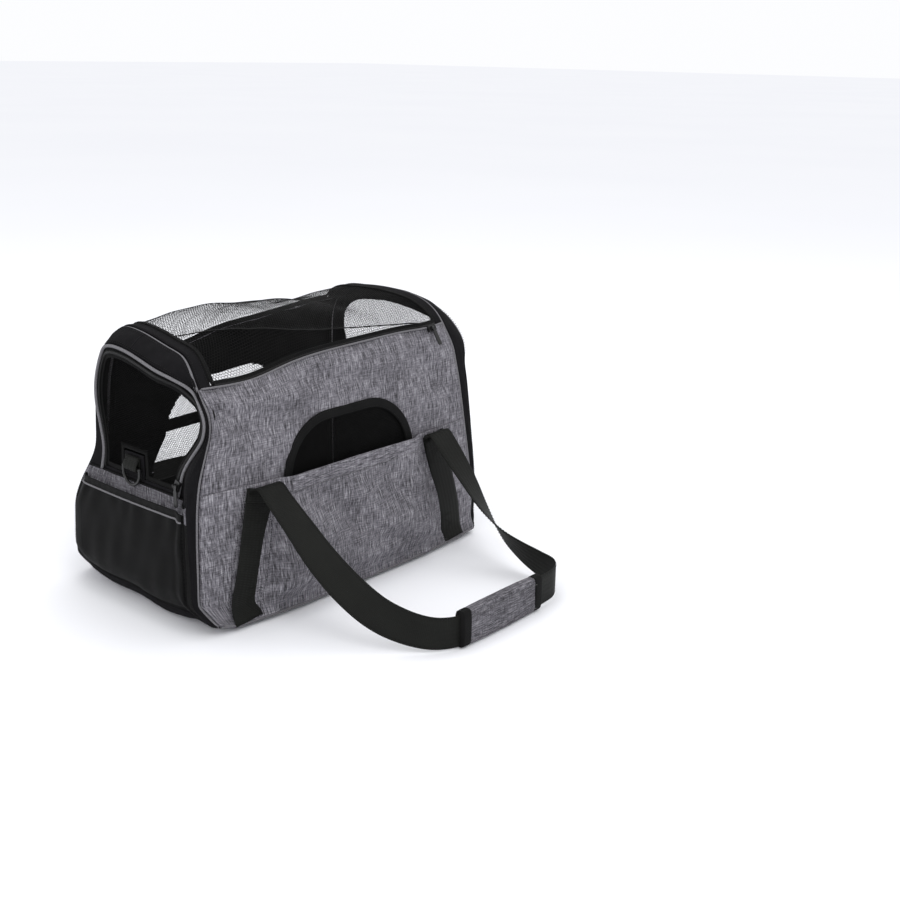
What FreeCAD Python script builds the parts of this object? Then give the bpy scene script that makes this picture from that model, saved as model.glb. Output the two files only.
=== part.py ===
"""Soft-sided pet carrier bag, in millimetres.

Frame: +X along the bag's length, the front faces -Y, +Z up. The origin is the centre of the base.
The cross-section is one closed profile of tangent arcs (bottom, corners, sides, shoulders, top).
Walls are rings between two offsets of that profile, and each end is built once and mirrored.
"""

import FreeCAD
import Part

import math
import os

Vec = FreeCAD.Vector

# ---- driving dimensions ----
HEIGHT = 323.0            # crown of the top
HALF_WIDTH = 129.0        # widest half-section
WIDEST_Z = 70.0           # height of the widest section
TOP_R = 380.0             # crown of the top
SHOULDER_R = 80.0
SIDE_R = 1400.0           # gentle bow of the front and back walls
CORNER_R = 18.0           # base edge
WALL = 2.4                # padded wall fabric
MESH = 0.8                # solid that stands for net
WEBBING_WIDTH = 38.0
WEBBING = 2.1
GAP = 0.3                 # between neighbouring layers
FAR = 600.0               # longer than the bag, for cutting blocks

EDGE_X = 210.0            # end of the wrap at the base
EDGE_LEAN = 0.0700        # how far the wrap's end leans in, per unit of height
END_X = 218.0             # end plane at the base
END_LEAN = 0.02
EDGE_ANGLE = math.degrees(math.atan(EDGE_LEAN))
END_ANGLE = math.degrees(math.atan(END_LEAN))

# ---- heights and angles of the seams ----
BASE_SEAM_Z = 11.0        # base panel below, front and back panels above
POCKET_TOP_Z = 161.0
PANEL_TOP_DEG = 31.0      # on the shoulder arc: top edge of the front and back panels
TRACK_TOP_DEG = 37.0      # top edge of the fixed zip tape
FLAP_EDGE_DEG = 38.1      # free edge of the top flap
FLAP_MARGIN = 13.0        # from the wrap's end to the flap's side edge

# ---- windows in the front and back panels ----
WINDOW_HALF = 106.0
WINDOW_BOTTOM_Z = 50.0
WINDOW_TOP_Z = 222.0
BACK_WINDOW_TOP_Z = 231.0
WINDOW_TOP_R = 74.0
WINDOW_BOTTOM_R = 22.0
BINDING = 11.0            # width of a binding around a window or a door
FLAP_BINDING = 7.0        # width of the binding around the top flap

# ---- carrying webs sewn to the walls, spread at the base ----
WEB_TOP_X, WEB_BASE_X = 140.0, 168.0
WEB_TOP_Z, WEB_BASE_Z = 155.0, 14.0

# ---- front pocket: a shallow dish ----
DISH_DEPTH = 13.0
DISH_TOP_X, DISH_BASE_X = 119.0, 145.0
DISH_BASE_Z = 15.0
DISH_SLOPE = 15.0         # how far the dish's sides run in
HEM_HEIGHT = 18.0

# ---- ends ----
ARCH_HEIGHT = 309.0       # the end plane's outline, inside the hoop band
ARCH_HALF_WIDTH = 127.0
ARCH_FLOOR = 12.0
ARCH_SHOULDER_R = 77.0
PIPING_R = 2.0
INNER_PIPING_R = 1.8
PLATE = 1.8
HOOP_WIRE_R = 1.25

# ---- doors: distances below are measured inward from a door's opening ----
DOOR_Z = 157.0            # hinge line of a door
DOOR_FOOT = (84.0, 157.0)  # the opening's side runs from here ...
DOOR_SIDE = (112.5, 232.0)  # ... through here
DOOR_TOP_Z = 303.0
DOOR_TOP_R = 300.0
DOOR_SHOULDER_R = 60.0
TRACK_D = (0.7, 7.0)      # zip tape
CHAIN_D = (3.0, 7.0)
DOOR_D = 9.6              # the door's free edge
DOOR_BINDING = 7.0        # binding round a door's free edge
HINGE_BINDING = 5.0       # binding along the hinge line
SILL_Z = 152.3            # black gusset above, heather panel below
END_POCKET_TOP_Z = 134.0
END_POCKET_DEPTH = 18.0
END_POCKET_BACK = 0.3
END_POCKET_HALF = 114.0
END_POCKET_LOW = 17.0
END_POCKET_SLOPE = 24.0
RIM_HEIGHT = 8.0

# ---- ring and tab on each end, on a patch that stands in a notch of the door ----
RING_R = 1.75
RING_AXIS = (4.2, 168.0)  # out from the end plane, height
RING_HALF = 15.0
RING_DROP = 20.0
TAB_WIDTH = 25.0
TAB_TOP_Z = 181.0
PATCH = (18.0, 184.0)     # half-width and top of the patch
NOTCH_GAP = 2.5

# ---- zip sliders ----
SLIDER_LENGTH = 13.0
SLIDER_HEIGHT = 3.6
PULL_LENGTH = 24.0
PULL_WIDTH = 5.5
DOOR_SLIDER_Z = 167.0
TOP_SLIDER_X = 160.0

# ---- base board and pad ----
BOARD = (392.0, 212.0, 3.0)
PAD = (386.0, 222.0, 14.0)
PAD_EDGE_R = 6.0

# ---- carrying handles: centre line of the webbing, left end to right end ----
# The last number of each row is how far the strap has turned on edge, from 0 (flat) to 1.
FRONT_HANDLE = [
    (-140, -136, 158, 0.00), (-139, -156, 149, 0.00), (-137, -186, 123, 0.08),
    (-134, -215, 96, 0.22), (-126, -246, 68, 0.42), (-113, -276, 44, 0.64),
    (-97, -303, 30, 0.84), (-79, -326, 23, 0.96), (-58, -339.5, 21, 1.00),
    (-38, -342, 21, 1.00), (20, -342, 21, 1.00), (80, -342, 21, 1.00),
    (104, -341, 21, 1.00), (128, -337, 21, 1.00), (147, -322, 21, 1.00),
    (156, -296, 22, 0.92), (156, -266, 31, 0.74), (152, -238, 48, 0.52),
    (148, -212, 75, 0.30), (145, -187, 108, 0.12), (142, -160, 141, 0.00),
    (140, -136, 158, 0.00),
]
BACK_HANDLE = [
    (-140, 136, 158, 0.00), (-138, 155, 147, 0.00), (-130, 178, 110, 0.12),
    (-116, 206, 70, 0.42), (-94, 240, 36, 0.78), (-60, 276, 22, 0.98),
    (-16, 304, 21, 1.00), (36, 317, 21, 1.00), (88, 313, 21, 1.00),
    (130, 293, 21, 1.00), (155, 260, 24, 0.86), (160, 226, 42, 0.55),
    (155, 194, 78, 0.28), (148, 168, 118, 0.08), (142, 150, 147, 0.00),
    (140, 136, 158, 0.00),
]
STRAP = 2.4

# ---- padded grip on the front handle ----
GRIP_X = (-40.0, 80.0)
GRIP_Y = -342.0
GRIP_TOP_Z = 44.0
GRIP_BOTTOM_Z = 0.4
GRIP_LEAF = 5.0           # thickness of one padded leaf
GRIP_SLOT = 4.4           # room for the strap between the leaves
GRIP_BINDING = 9.0


# ---------------------------------------------------------------- profile
def unit(y, z):
    size = math.hypot(y, z)
    return y / size, z / size


class Section:
    """A closed outline of tangent arcs; the centres are (y, z), on the right side."""

    def __init__(self, height, half_width, shoulder_r, floor):
        self.shoulder_r = shoulder_r
        self.floor = floor
        self.top = (0.0, height - TOP_R)
        self.side = (half_width - SIDE_R, WIDEST_Z)
        rise = self.side[1] - CORNER_R - floor
        reach = math.sqrt((SIDE_R - CORNER_R) ** 2 - rise ** 2)
        self.corner = (self.side[0] + reach, CORNER_R + floor)
        # The shoulder's centre is where two circles meet: both arcs hold it tangent inside.
        far_top, far_side = TOP_R - shoulder_r, SIDE_R - shoulder_r
        dy, dz = self.top[0] - self.side[0], self.top[1] - self.side[1]
        apart = math.hypot(dy, dz)
        along = (far_side ** 2 - far_top ** 2 + apart ** 2) / (2 * apart)
        across = math.sqrt(far_side ** 2 - along ** 2)
        ey, ez = dy / apart, dz / apart
        self.shoulder = (
            self.side[0] + along * ey - across * ez, self.side[1] + along * ez + across * ey
        )


WRAP = Section(HEIGHT, HALF_WIDTH, SHOULDER_R, 0.0)
ARCH = Section(ARCH_HEIGHT, ARCH_HALF_WIDTH, ARCH_SHOULDER_R, ARCH_FLOOR)


def beyond(centre, through, radius):
    """The point at that radius from centre, on the line through another centre."""
    y, z = unit(through[0] - centre[0], through[1] - centre[1])
    return centre[0] + radius * y, centre[1] + radius * z


def arc(centre, start, end):
    """Arc in the YZ plane from start to end about centre, the short way."""
    radius = math.hypot(start[0] - centre[0], start[1] - centre[1])
    y, z = unit(start[0] + end[0] - 2 * centre[0], start[1] + end[1] - 2 * centre[1])
    middle = (centre[0] + radius * y, centre[1] + radius * z)
    points = [Vec(0, *p) for p in (start, middle, end)]
    return Part.Arc(*points).toShape()


def flipped(point):
    return -point[0], point[1]


def profile(inset=0.0, x=0.0, section=WRAP):
    """Closed wire of the section, moved in by inset, in the plane at x."""
    corner, side, shoulder, top = section.corner, section.side, section.shoulder, section.top
    p0 = (corner[0], section.floor + inset)
    p1 = beyond(side, corner, SIDE_R - inset)
    p2 = beyond(side, shoulder, SIDE_R - inset)
    p3 = beyond(top, shoulder, TOP_R - inset)
    right = [arc(corner, p0, p1), arc(side, p1, p2), arc(shoulder, p2, p3)]
    left = [
        arc(flipped(shoulder), flipped(p3), flipped(p2)),
        arc(flipped(side), flipped(p2), flipped(p1)),
        arc(flipped(corner), flipped(p1), flipped(p0)),
    ]
    bottom = Part.makeLine(Vec(0, *flipped(p0)), Vec(0, *p0))
    wire = Part.Wire([bottom, *right, arc(top, p3, flipped(p3)), *left])
    wire.translate(Vec(x, 0, 0))
    return wire


def shoulder_point(degrees, inset=0.0):
    """(y, z) on the back shoulder arc; the front's y is the opposite."""
    a = math.radians(degrees)
    radius = SHOULDER_R - inset
    return (WRAP.shoulder[0] + radius * math.cos(a), WRAP.shoulder[1] + radius * math.sin(a))


# ---------------------------------------------------------------- shapes
def filled(inset, x0, x1, section=WRAP):
    return Part.Face(profile(inset, x0, section)).extrude(Vec(x1 - x0, 0, 0))


def layer(outer, inner, x0=-FAR / 2, x1=FAR / 2):
    """The ring between two offsets of the profile."""
    return filled(outer, x0, x1).cut(filled(inner, x0, x1))


def block(x, y, z):
    """Box between pairs of limits."""
    low, size = Vec(x[0], y[0], z[0]), [b - a for a, b in (x, y, z)]
    return Part.makeBox(*size, low)


def prism_along_y(points, y0=-FAR, y1=FAR):
    """Prism of an (x, z) outline."""
    wire = Part.makePolygon([Vec(x, y0, z) for x, z in [*points, points[0]]])
    return Part.Face(wire).extrude(Vec(0, y1 - y0, 0))


def prism_along_x(points, x0=-FAR / 2, x1=FAR / 2):
    """Prism of a (y, z) outline."""
    wire = Part.makePolygon([Vec(x0, y, z) for y, z in [*points, points[0]]])
    return Part.Face(wire).extrude(Vec(x1 - x0, 0, 0))


def between_edges(margin=0.0):
    """Everything between the leaning ends of the wrap."""
    low = EDGE_X - GAP - margin
    high = low - EDGE_LEAN * FAR
    return prism_along_y([(-low, 0), (low, 0), (high, FAR), (-high, FAR)])


def above_shoulders(degrees):
    """Everything above a line across both shoulder arcs, at that angle."""
    y, z = shoulder_point(degrees, -FAR / 3)
    return prism_along_x([
        (-y, z), flipped(WRAP.shoulder), WRAP.shoulder, (y, z), (y, FAR), (-y, FAR),
    ])


def front(shape):
    return shape.common(block((-FAR, FAR), (-FAR, 0), (-FAR, FAR)))


def back(shape):
    return shape.common(block((-FAR, FAR), (0, FAR), (-FAR, FAR)))


def level(shape, z0, z1):
    return shape.common(block((-FAR, FAR), (-FAR, FAR), (z0, z1)))


def solid_of(shape):
    """The shape's only solid, or its solids as one compound."""
    solids = shape.Solids
    return solids[0] if len(solids) == 1 else Part.makeCompound(solids)


def bead(wire, start, along, radius):
    """A round bead along a wire."""
    ring = Part.Wire([Part.makeCircle(radius, start, along)])
    return wire.makePipeShell([ring], True, True)


# ---------------------------------------------------------------- base
def make_base_panel():
    return level(layer(0, WALL).common(between_edges()), -1, BASE_SEAM_Z)


def make_base_board():
    length, width, thick = BOARD
    z0 = WALL + GAP
    board = block((-length / 2, length / 2), (-width / 2, width / 2), (z0, z0 + thick))
    upright = [e for e in board.Edges if abs(e.tangentAt(0).z) > 0.9]
    return board.makeFillet(12.0, upright)


def make_sleeping_pad():
    length, width, thick = PAD
    z0 = WALL + GAP + BOARD[2] + GAP
    pad = block((-length / 2, length / 2), (-width / 2, width / 2), (z0, z0 + thick))
    upright = [e for e in pad.Edges if abs(e.tangentAt(0).z) > 0.9]
    pad = pad.makeFillet(20.0, upright)
    return pad.makeFillet(PAD_EDGE_R, [e for e in pad.Edges if abs(e.tangentAt(0).z) < 0.1])


# ---------------------------------------------------------------- front and back walls
def window_prism(top_z, inset=0.0):
    """Prism along Y of the D-shaped window, moved in by inset."""
    half, low, high = WINDOW_HALF - inset, WINDOW_BOTTOM_Z + inset, top_z - inset
    prism = block((-half, half), (-FAR, FAR), (low, high))
    edges = [e for e in prism.Edges if abs(e.tangentAt(0).y) > 0.9]
    top = [e for e in edges if e.BoundBox.ZMin > low + 1]
    prism = prism.makeFillet(WINDOW_TOP_R - inset, top)
    bottom = [
        e for e in prism.Edges
        if abs(e.tangentAt(0).y) > 0.9 and e.BoundBox.ZMax < low + 1
    ]
    return prism.makeFillet(max(WINDOW_BOTTOM_R - inset, 2.0), bottom)


def make_wall(window_top_z):
    """Front and back panels in one, still joined by nothing: cut by front() and back()."""
    wall = layer(0, WALL).common(between_edges())
    wall = wall.cut(above_shoulders(PANEL_TOP_DEG))
    wall = level(wall, BASE_SEAM_Z + GAP, FAR)
    return wall.cut(window_prism(window_top_z, BINDING - 3))


def make_window_mesh(top_z):
    return layer(0.6, 0.6 + MESH).common(window_prism(top_z, BINDING - 3 + GAP))


def make_window_binding(top_z):
    return layer(-1.8, -GAP).common(window_prism(top_z).cut(window_prism(top_z, BINDING)))


def web_outline():
    """(x, z) corners of the right-hand web."""
    half = WEBBING_WIDTH / 2
    return [
        (WEB_BASE_X - half, WEB_BASE_Z), (WEB_BASE_X + half, WEB_BASE_Z),
        (WEB_TOP_X + half, WEB_TOP_Z), (WEB_TOP_X - half, WEB_TOP_Z),
    ]


def make_webs(outer, inner):
    right = layer(outer, inner).common(prism_along_y(web_outline()))
    left = right.mirror(Vec(0, 0, 0), Vec(1, 0, 0))
    return Part.makeCompound([*left.Solids, *right.Solids])


def make_back_band(z0, z1):
    return back(level(layer(-3.6, -2.1).common(between_edges(GAP)), z0, z1))


# ---------------------------------------------------------------- front pocket
def dish(inset, depth, top):
    """Frustum in front of the wall: wide where it is sewn, narrower at its face."""
    y_back, y_face = -(HALF_WIDTH - 4.0), -(HALF_WIDTH + depth)

    def outline(y, run_in):
        points = [
            (-DISH_TOP_X + inset + run_in, top), (DISH_TOP_X - inset - run_in, top),
            (DISH_BASE_X - inset - run_in, DISH_BASE_Z + inset + run_in),
            (-DISH_BASE_X + inset + run_in, DISH_BASE_Z + inset + run_in),
        ]
        return Part.makePolygon([Vec(x, y, z) for x, z in [*points, points[0]]])

    return Part.makeLoft([outline(y_back, 0.0), outline(y_face, DISH_SLOPE)], True, True)


def make_front_pocket():
    """Lower front panel: sewn flat at its sides, standing proud as a pocket between the webs."""
    flat = level(layer(-GAP - 2.0, -GAP).common(between_edges(GAP)), BASE_SEAM_Z + GAP, POCKET_TOP_Z)
    flat = front(flat)
    pocket = flat.fuse(dish(0.0, DISH_DEPTH, POCKET_TOP_Z).cut(filled(-GAP, -FAR / 2, FAR / 2)))
    return pocket.cut(dish(2.0, DISH_DEPTH - 2.0, POCKET_TOP_Z + 5))


def make_pocket_hem():
    half = DISH_TOP_X - DISH_SLOPE - 1.0
    y = -(HALF_WIDTH + DISH_DEPTH + GAP)
    return block((-half, half), (y - 1.2, y), (POCKET_TOP_Z - HEM_HEIGHT, POCKET_TOP_Z))


# ---------------------------------------------------------------- top
def make_top_ring():
    ring = layer(0, WALL).common(between_edges())
    return ring.common(above_shoulders(PANEL_TOP_DEG + 0.3))


def make_top_zip_track():
    """Fixed tape along the front panel's top edge, with the chain on it."""
    tape = front(make_top_ring().cut(above_shoulders(TRACK_TOP_DEG)))
    tape = tape.common(between_edges(FLAP_MARGIN + GAP))
    chain = front(layer(-2.0, -0.15).common(between_edges(FLAP_MARGIN + 2.0)))
    chain = chain.common(above_shoulders(TRACK_TOP_DEG - 4.0)).cut(above_shoulders(TRACK_TOP_DEG))
    return Part.makeCompound([*tape.Solids, *chain.Solids])


def make_top_back_tape():
    tape = back(make_top_ring().cut(above_shoulders(TRACK_TOP_DEG)))
    return tape.common(between_edges(FLAP_MARGIN + GAP))


def make_top_side_tapes():
    sides = make_top_ring().cut(between_edges(FLAP_MARGIN))
    return Part.makeCompound(sides.Solids)


def flap_region(margin=0.0, degrees=0.0):
    return between_edges(FLAP_MARGIN + 1.0 + margin).common(above_shoulders(FLAP_EDGE_DEG + degrees))


def make_top_flap_binding():
    edge_degrees = FLAP_BINDING / SHOULDER_R * 180.0 / math.pi
    ring = layer(0.0, WALL - 0.4).common(flap_region())
    return ring.cut(flap_region(FLAP_BINDING, edge_degrees))


def make_top_mesh():
    edge_degrees = (FLAP_BINDING + GAP) / SHOULDER_R * 180.0 / math.pi
    return layer(0.6, 0.6 + MESH).common(flap_region(FLAP_BINDING + GAP, edge_degrees))


# ---------------------------------------------------------------- ends, built at +X
def on_edge_plane(shape):
    """From the local frame to the leaning plane of the wrap's end."""
    placed = shape.copy()
    placed.rotate(Vec(0, 0, 0), Vec(0, 1, 0), -EDGE_ANGLE)
    placed.translate(Vec(EDGE_X, 0, 0))
    return placed


def on_end_plane(shape):
    """From the local frame, X out of the end, to the leaning end plane."""
    placed = shape.copy()
    placed.rotate(Vec(0, 0, 0), Vec(0, 1, 0), -END_ANGLE)
    placed.translate(Vec(END_X, 0, 0))
    return placed


def make_outer_piping():
    inset = PIPING_R + 0.4
    wire = profile(inset, PIPING_R)
    return on_edge_plane(bead(wire, Vec(PIPING_R, 0, inset), Vec(0, 1, 0), PIPING_R))


def make_hoop_band():
    """Black band from the wrap's end out and down to the end plane's outline."""

    def skin(inset):
        outer = on_edge_plane(profile(inset + 0.3, 2 * PIPING_R + GAP))
        inner = on_end_plane(profile(inset, 0.0, ARCH))
        return Part.makeLoft([outer, inner], True, True)

    return skin(0.0).cut(skin(WALL))


def make_hoop_wire():
    inset = WALL + GAP + HOOP_WIRE_R
    wire = profile(inset, -4.0)
    return on_edge_plane(bead(wire, Vec(-4.0, 0, inset), Vec(0, 1, 0), HOOP_WIRE_R))


def door_edges(inset, foot_z):
    """Edges of a door's opening, moved in by inset: up the right side, over, and down."""
    dy, dz = unit(DOOR_SIDE[0] - DOOR_FOOT[0], DOOR_SIDE[1] - DOOR_FOOT[1])
    foot = (DOOR_FOOT[0] - dz * inset, DOOR_FOOT[1] + dy * inset)
    crown = (0.0, DOOR_TOP_Z - DOOR_TOP_R)
    # The shoulder's centre is its radius inside the side line, and tangent inside the top arc.
    r, reach = DOOR_SHOULDER_R - inset, DOOR_TOP_R - DOOR_SHOULDER_R
    y, z = foot[0] - dz * r - crown[0], foot[1] + dy * r - crown[1]
    half_b = y * dy + z * dz
    t = -half_b + math.sqrt(half_b ** 2 - (y * y + z * z - reach ** 2))
    shoulder = (foot[0] - dz * r + t * dy, foot[1] + dy * r + t * dz)
    side = (foot[0] + t * dy, foot[1] + t * dz)
    hip = beyond(crown, shoulder, DOOR_TOP_R - inset)
    drop = (foot_z - foot[1]) / dz
    low = (foot[0] + drop * dy, foot_z)
    return low, [
        Part.makeLine(Vec(0, *low), Vec(0, *side)),
        arc(shoulder, side, hip),
        arc(crown, hip, flipped(hip)),
        arc(flipped(shoulder), flipped(hip), flipped(side)),
        Part.makeLine(Vec(0, *flipped(side)), Vec(0, *flipped(low))),
    ]


def door_prism(inset, x0, x1, foot_z=DOOR_Z):
    low, edges = door_edges(inset, foot_z)
    closing = Part.makeLine(Vec(0, *flipped(low)), Vec(0, *low))
    face = Part.Face(Part.Wire([*edges, closing]))
    face.translate(Vec(x0, 0, 0))
    return face.extrude(Vec(x1 - x0, 0, 0))


def make_inner_piping():
    low, edges = door_edges(-2.0, SILL_Z)
    wire = Part.Wire(edges)
    wire.translate(Vec(INNER_PIPING_R + 0.2, 0, 0))
    dy, dz = unit(DOOR_SIDE[0] - DOOR_FOOT[0], DOOR_SIDE[1] - DOOR_FOOT[1])
    start = Vec(INNER_PIPING_R + 0.2, *low)
    return on_end_plane(bead(wire, start, Vec(0, dy, dz), INNER_PIPING_R))


def end_plate(inset, x0, x1, z0, z1):
    """Part of the end plane inside its outline, between two heights."""
    return level(filled(inset, x0, x1, ARCH), z0, z1)


def patch_block(margin, below=0.0):
    half, top = PATCH[0] + margin, PATCH[1] + margin
    return block((-9, 9), (-half, half), (DOOR_Z - 5 - below, top))


def make_door_track():
    """Fixed zip tape and chain round a door, open along the hinge line."""
    tape = door_prism(TRACK_D[0], -1.2, 0.0).cut(door_prism(TRACK_D[1], -9, 9, DOOR_Z - 9))
    chain = door_prism(CHAIN_D[0], 0.2, 2.0).cut(door_prism(CHAIN_D[1], -9, 9, DOOR_Z - 9))
    return on_end_plane(Part.makeCompound([*tape.Solids, *chain.Solids]))


def make_end_gusset():
    """Black border round the door, with the strip below it and the ring's patch."""
    plate = end_plate(WALL + GAP, -PLATE, 0.0, SILL_Z, FAR)
    opening = door_prism(TRACK_D[0] - GAP, -9, 9, DOOR_Z - GAP).cut(patch_block(0.0))
    return on_end_plane(plate.cut(opening))


def make_lower_panel():
    return on_end_plane(end_plate(WALL + GAP, -PLATE, 0.0, 0.0, SILL_Z - GAP))


def door_area(inset, bottom, notch, x0, x1):
    """The door inside its free edge, less the notch round the ring's patch."""
    area = door_prism(DOOR_D + inset, x0, x1, DOOR_Z + 0.5 + bottom)
    return area.cut(patch_block(NOTCH_GAP + notch, 9.0))


def make_door_binding():
    plate = door_area(0.0, 0.0, 0.0, -1.6, 0.0)
    return on_end_plane(plate.cut(door_area(DOOR_BINDING, HINGE_BINDING, HINGE_BINDING, -9, 9)))


def make_door_mesh():
    inset, bottom = DOOR_BINDING + GAP, HINGE_BINDING + GAP
    return on_end_plane(door_area(inset, bottom, bottom, -0.4 - MESH, -0.4))


def end_dish(inset, depth, top):
    """Frustum out from the end plane, for the end pocket."""

    def outline(x, run_in):
        half = END_POCKET_HALF - inset - run_in
        low = END_POCKET_LOW + inset + run_in / 2
        points = [(-half, top), (half, top), (half, low), (-half, low)]
        return Part.makePolygon([Vec(x, y, z) for y, z in [*points, points[0]]])

    back_x = END_POCKET_BACK - (0.0 if inset == 0 else 1.0)
    return Part.makeLoft([outline(back_x, 0.0), outline(depth, END_POCKET_SLOPE)], True, True)


def make_end_pocket():
    shell = end_dish(0.0, END_POCKET_DEPTH, END_POCKET_TOP_Z)
    return on_end_plane(shell.cut(end_dish(1.6, END_POCKET_DEPTH - 1.6, END_POCKET_TOP_Z + 5)))


def make_pocket_rim():
    """Elastic binding along the pocket's mouth."""
    tall = END_POCKET_TOP_Z + RIM_HEIGHT
    rim = end_dish(0.0, END_POCKET_DEPTH, tall)
    rim = rim.cut(end_dish(2.2, END_POCKET_DEPTH - 2.2, tall + 5))
    return on_end_plane(level(rim, END_POCKET_TOP_Z + 0.2, tall))


def make_ring_tab():
    """Webbing tab: a flat tail on the sill and a loop round the ring's bar."""
    out, height = RING_AXIS
    half = TAB_WIDTH / 2
    tail = block((0.2, 2.4), (-half, half), (height, TAB_TOP_Z))
    start, along = Vec(out, -half, height), Vec(0, 1, 0)
    loop = Part.makeCylinder(RING_R + 2.0, TAB_WIDTH, start, along)
    hole = Part.makeCylinder(RING_R + 0.1, TAB_WIDTH, start, along)
    tab = tail.fuse(loop).cut(hole)
    return on_end_plane(tab.common(block((0.2, 20), (-FAR, FAR), (0, FAR))))


def make_d_ring():
    """Ring with a straight bar at the top, hanging."""
    out, height = RING_AXIS
    r = RING_R
    start = Vec(out, -RING_HALF, height)
    bar = Part.makeCylinder(r, 2 * RING_HALF, start, Vec(0, 1, 0))
    ends = [Part.makeSphere(r, Vec(out, s * RING_HALF, height)) for s in (-1, 1)]
    low = height - (RING_DROP - RING_HALF)
    legs = [
        Part.makeCylinder(r, height - low, Vec(out, s * RING_HALF, low), Vec(0, 0, 1))
        for s in (-1, 1)
    ]
    bend = Part.makeTorus(RING_HALF, r, Vec(out, 0, low), Vec(1, 0, 0))
    bend = bend.common(block((-FAR, FAR), (-FAR, FAR), (0, low)))
    ring = bar.multiFuse([*ends, *legs, bend])
    return on_end_plane(ring.removeSplitter())


def slider_and_pull():
    """Slider body along Z with its face towards +X, its bail, and the pull tab hanging from that."""
    half = SLIDER_LENGTH / 2
    body = block((0, SLIDER_HEIGHT), (-4.0, 4.0), (-half, half))
    body = body.makeFillet(1.4, [e for e in body.Edges if abs(e.tangentAt(0).x) > 0.9])
    ears = block((SLIDER_HEIGHT - 0.5, SLIDER_HEIGHT + 3.2), (-3.4, 3.4), (-1.8, 1.8))
    ears = ears.cut(block((SLIDER_HEIGHT, FAR), (-2.2, 2.2), (-9, 9)))
    axis_x = SLIDER_HEIGHT + 1.6
    pin = Part.makeCylinder(0.7, 5.6, Vec(axis_x, -2.8, 0), Vec(0, 1, 0))
    bail = ears.fuse(pin)

    half_width = PULL_WIDTH / 2
    eye = Part.makeCylinder(1.45, 3.6, Vec(axis_x, -1.8, 0), Vec(0, 1, 0))
    neck = block((axis_x - 0.7, axis_x + 0.7), (-1.8, 1.8), (-6.0, 0))
    blade = block((axis_x - 0.7, axis_x + 0.7), (-half_width, half_width), (-PULL_LENGTH, -5.0))
    blade = blade.makeFillet(1.6, [e for e in blade.Edges if abs(e.tangentAt(0).x) > 0.9])
    hole = Part.makeCylinder(0.75, 9, Vec(axis_x, -4.5, 0), Vec(0, 1, 0))
    pull = eye.multiFuse([neck, blade]).cut(hole)
    return body, bail, pull.removeSplitter()


def make_door_slider():
    """Slider and pull at the foot of the front side of the door's track."""
    dy, dz = unit(DOOR_SIDE[0] - DOOR_FOOT[0], DOOR_SIDE[1] - DOOR_FOOT[1])
    up = (DOOR_SLIDER_Z - DOOR_FOOT[1]) / dz
    middle = (TRACK_D[1] + TRACK_D[0]) / 2
    y = -(DOOR_FOOT[0] + up * dy - middle / dz)
    body, bail, pull = slider_and_pull()
    body.rotate(Vec(0, 0, 0), Vec(1, 0, 0), math.degrees(math.atan2(dy, dz)))
    slider = body.fuse(bail).removeSplitter()
    placed = []
    for shape in (slider, pull):
        shape.translate(Vec(2.3, y, DOOR_SLIDER_Z))
        placed.append(on_end_plane(shape))
    return placed


def make_top_slider():
    """Slider on the front zip track, near the right end; it runs along X."""
    body, bail, pull = slider_and_pull()
    body.rotate(Vec(0, 0, 0), Vec(1, 0, 0), 90)  # its length runs along Y, then X
    slider = body.fuse(bail).removeSplitter()
    middle = TRACK_TOP_DEG - 4.2
    placed = []
    for shape in (slider, pull):
        shape.rotate(Vec(0, 0, 0), Vec(0, 0, 1), -90)      # its face towards -Y
        placed.append(shape)
    y, z = shoulder_point(middle, -2.3)
    for shape in placed:
        shape.rotate(Vec(0, 0, 0), Vec(1, 0, 0), -middle)
        shape.translate(Vec(TOP_SLIDER_X, -y, z))
    return placed


# ---------------------------------------------------------------- handles
def strap_section(before, here, after, turn, side, forward):
    """Rectangle of webbing at a point of the route, turned on edge by turn, from 0 to 1."""
    along = (Vec(*after[:3]) - Vec(*before[:3])).normalize()
    flat = Vec(1, 0, 0) - along * along.x          # across the strap while it lies flat
    edge = Vec(0, 0, 1) - along * along.z          # across the strap once it is on edge
    low_side = edge * (-1.0 if side * forward > 0 else 1.0)
    if flat.Length < 0.2:
        across = low_side.normalize()
    elif turn <= 0.0:
        across = flat.normalize()
    else:
        angle = turn * math.pi / 2
        across = flat.normalize() * math.cos(angle) + low_side.normalize() * math.sin(angle)
        across = (across - along * across.dot(along)).normalize()
    normal = along.cross(across).normalize()
    middle = Vec(*here[:3])
    half_w, half_t = across * (WEBBING_WIDTH / 2), normal * (STRAP / 2)
    corners = [middle + half_w + half_t, middle + half_w - half_t,
               middle - half_w - half_t, middle - half_w + half_t]
    return corners


def make_strap(route):
    """Loft of webbing sections along the route; the outer edge turns down on both sides."""
    sections = []
    for i, here in enumerate(route):
        before, after = route[max(i - 1, 0)], route[min(i + 1, len(route) - 1)]
        side = -1.0 if here[0] < 20 else 1.0
        corners = strap_section(before, here, after, here[3], side, 1.0)
        if sections and (corners[0] - corners[3]).dot(sections[-1][0] - sections[-1][3]) < 0:
            corners = [corners[2], corners[3], corners[0], corners[1]]
        sections.append(corners)
    wires = [Part.makePolygon([*c, c[0]]) for c in sections]
    return Part.makeLoft(wires, True, True)


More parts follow.
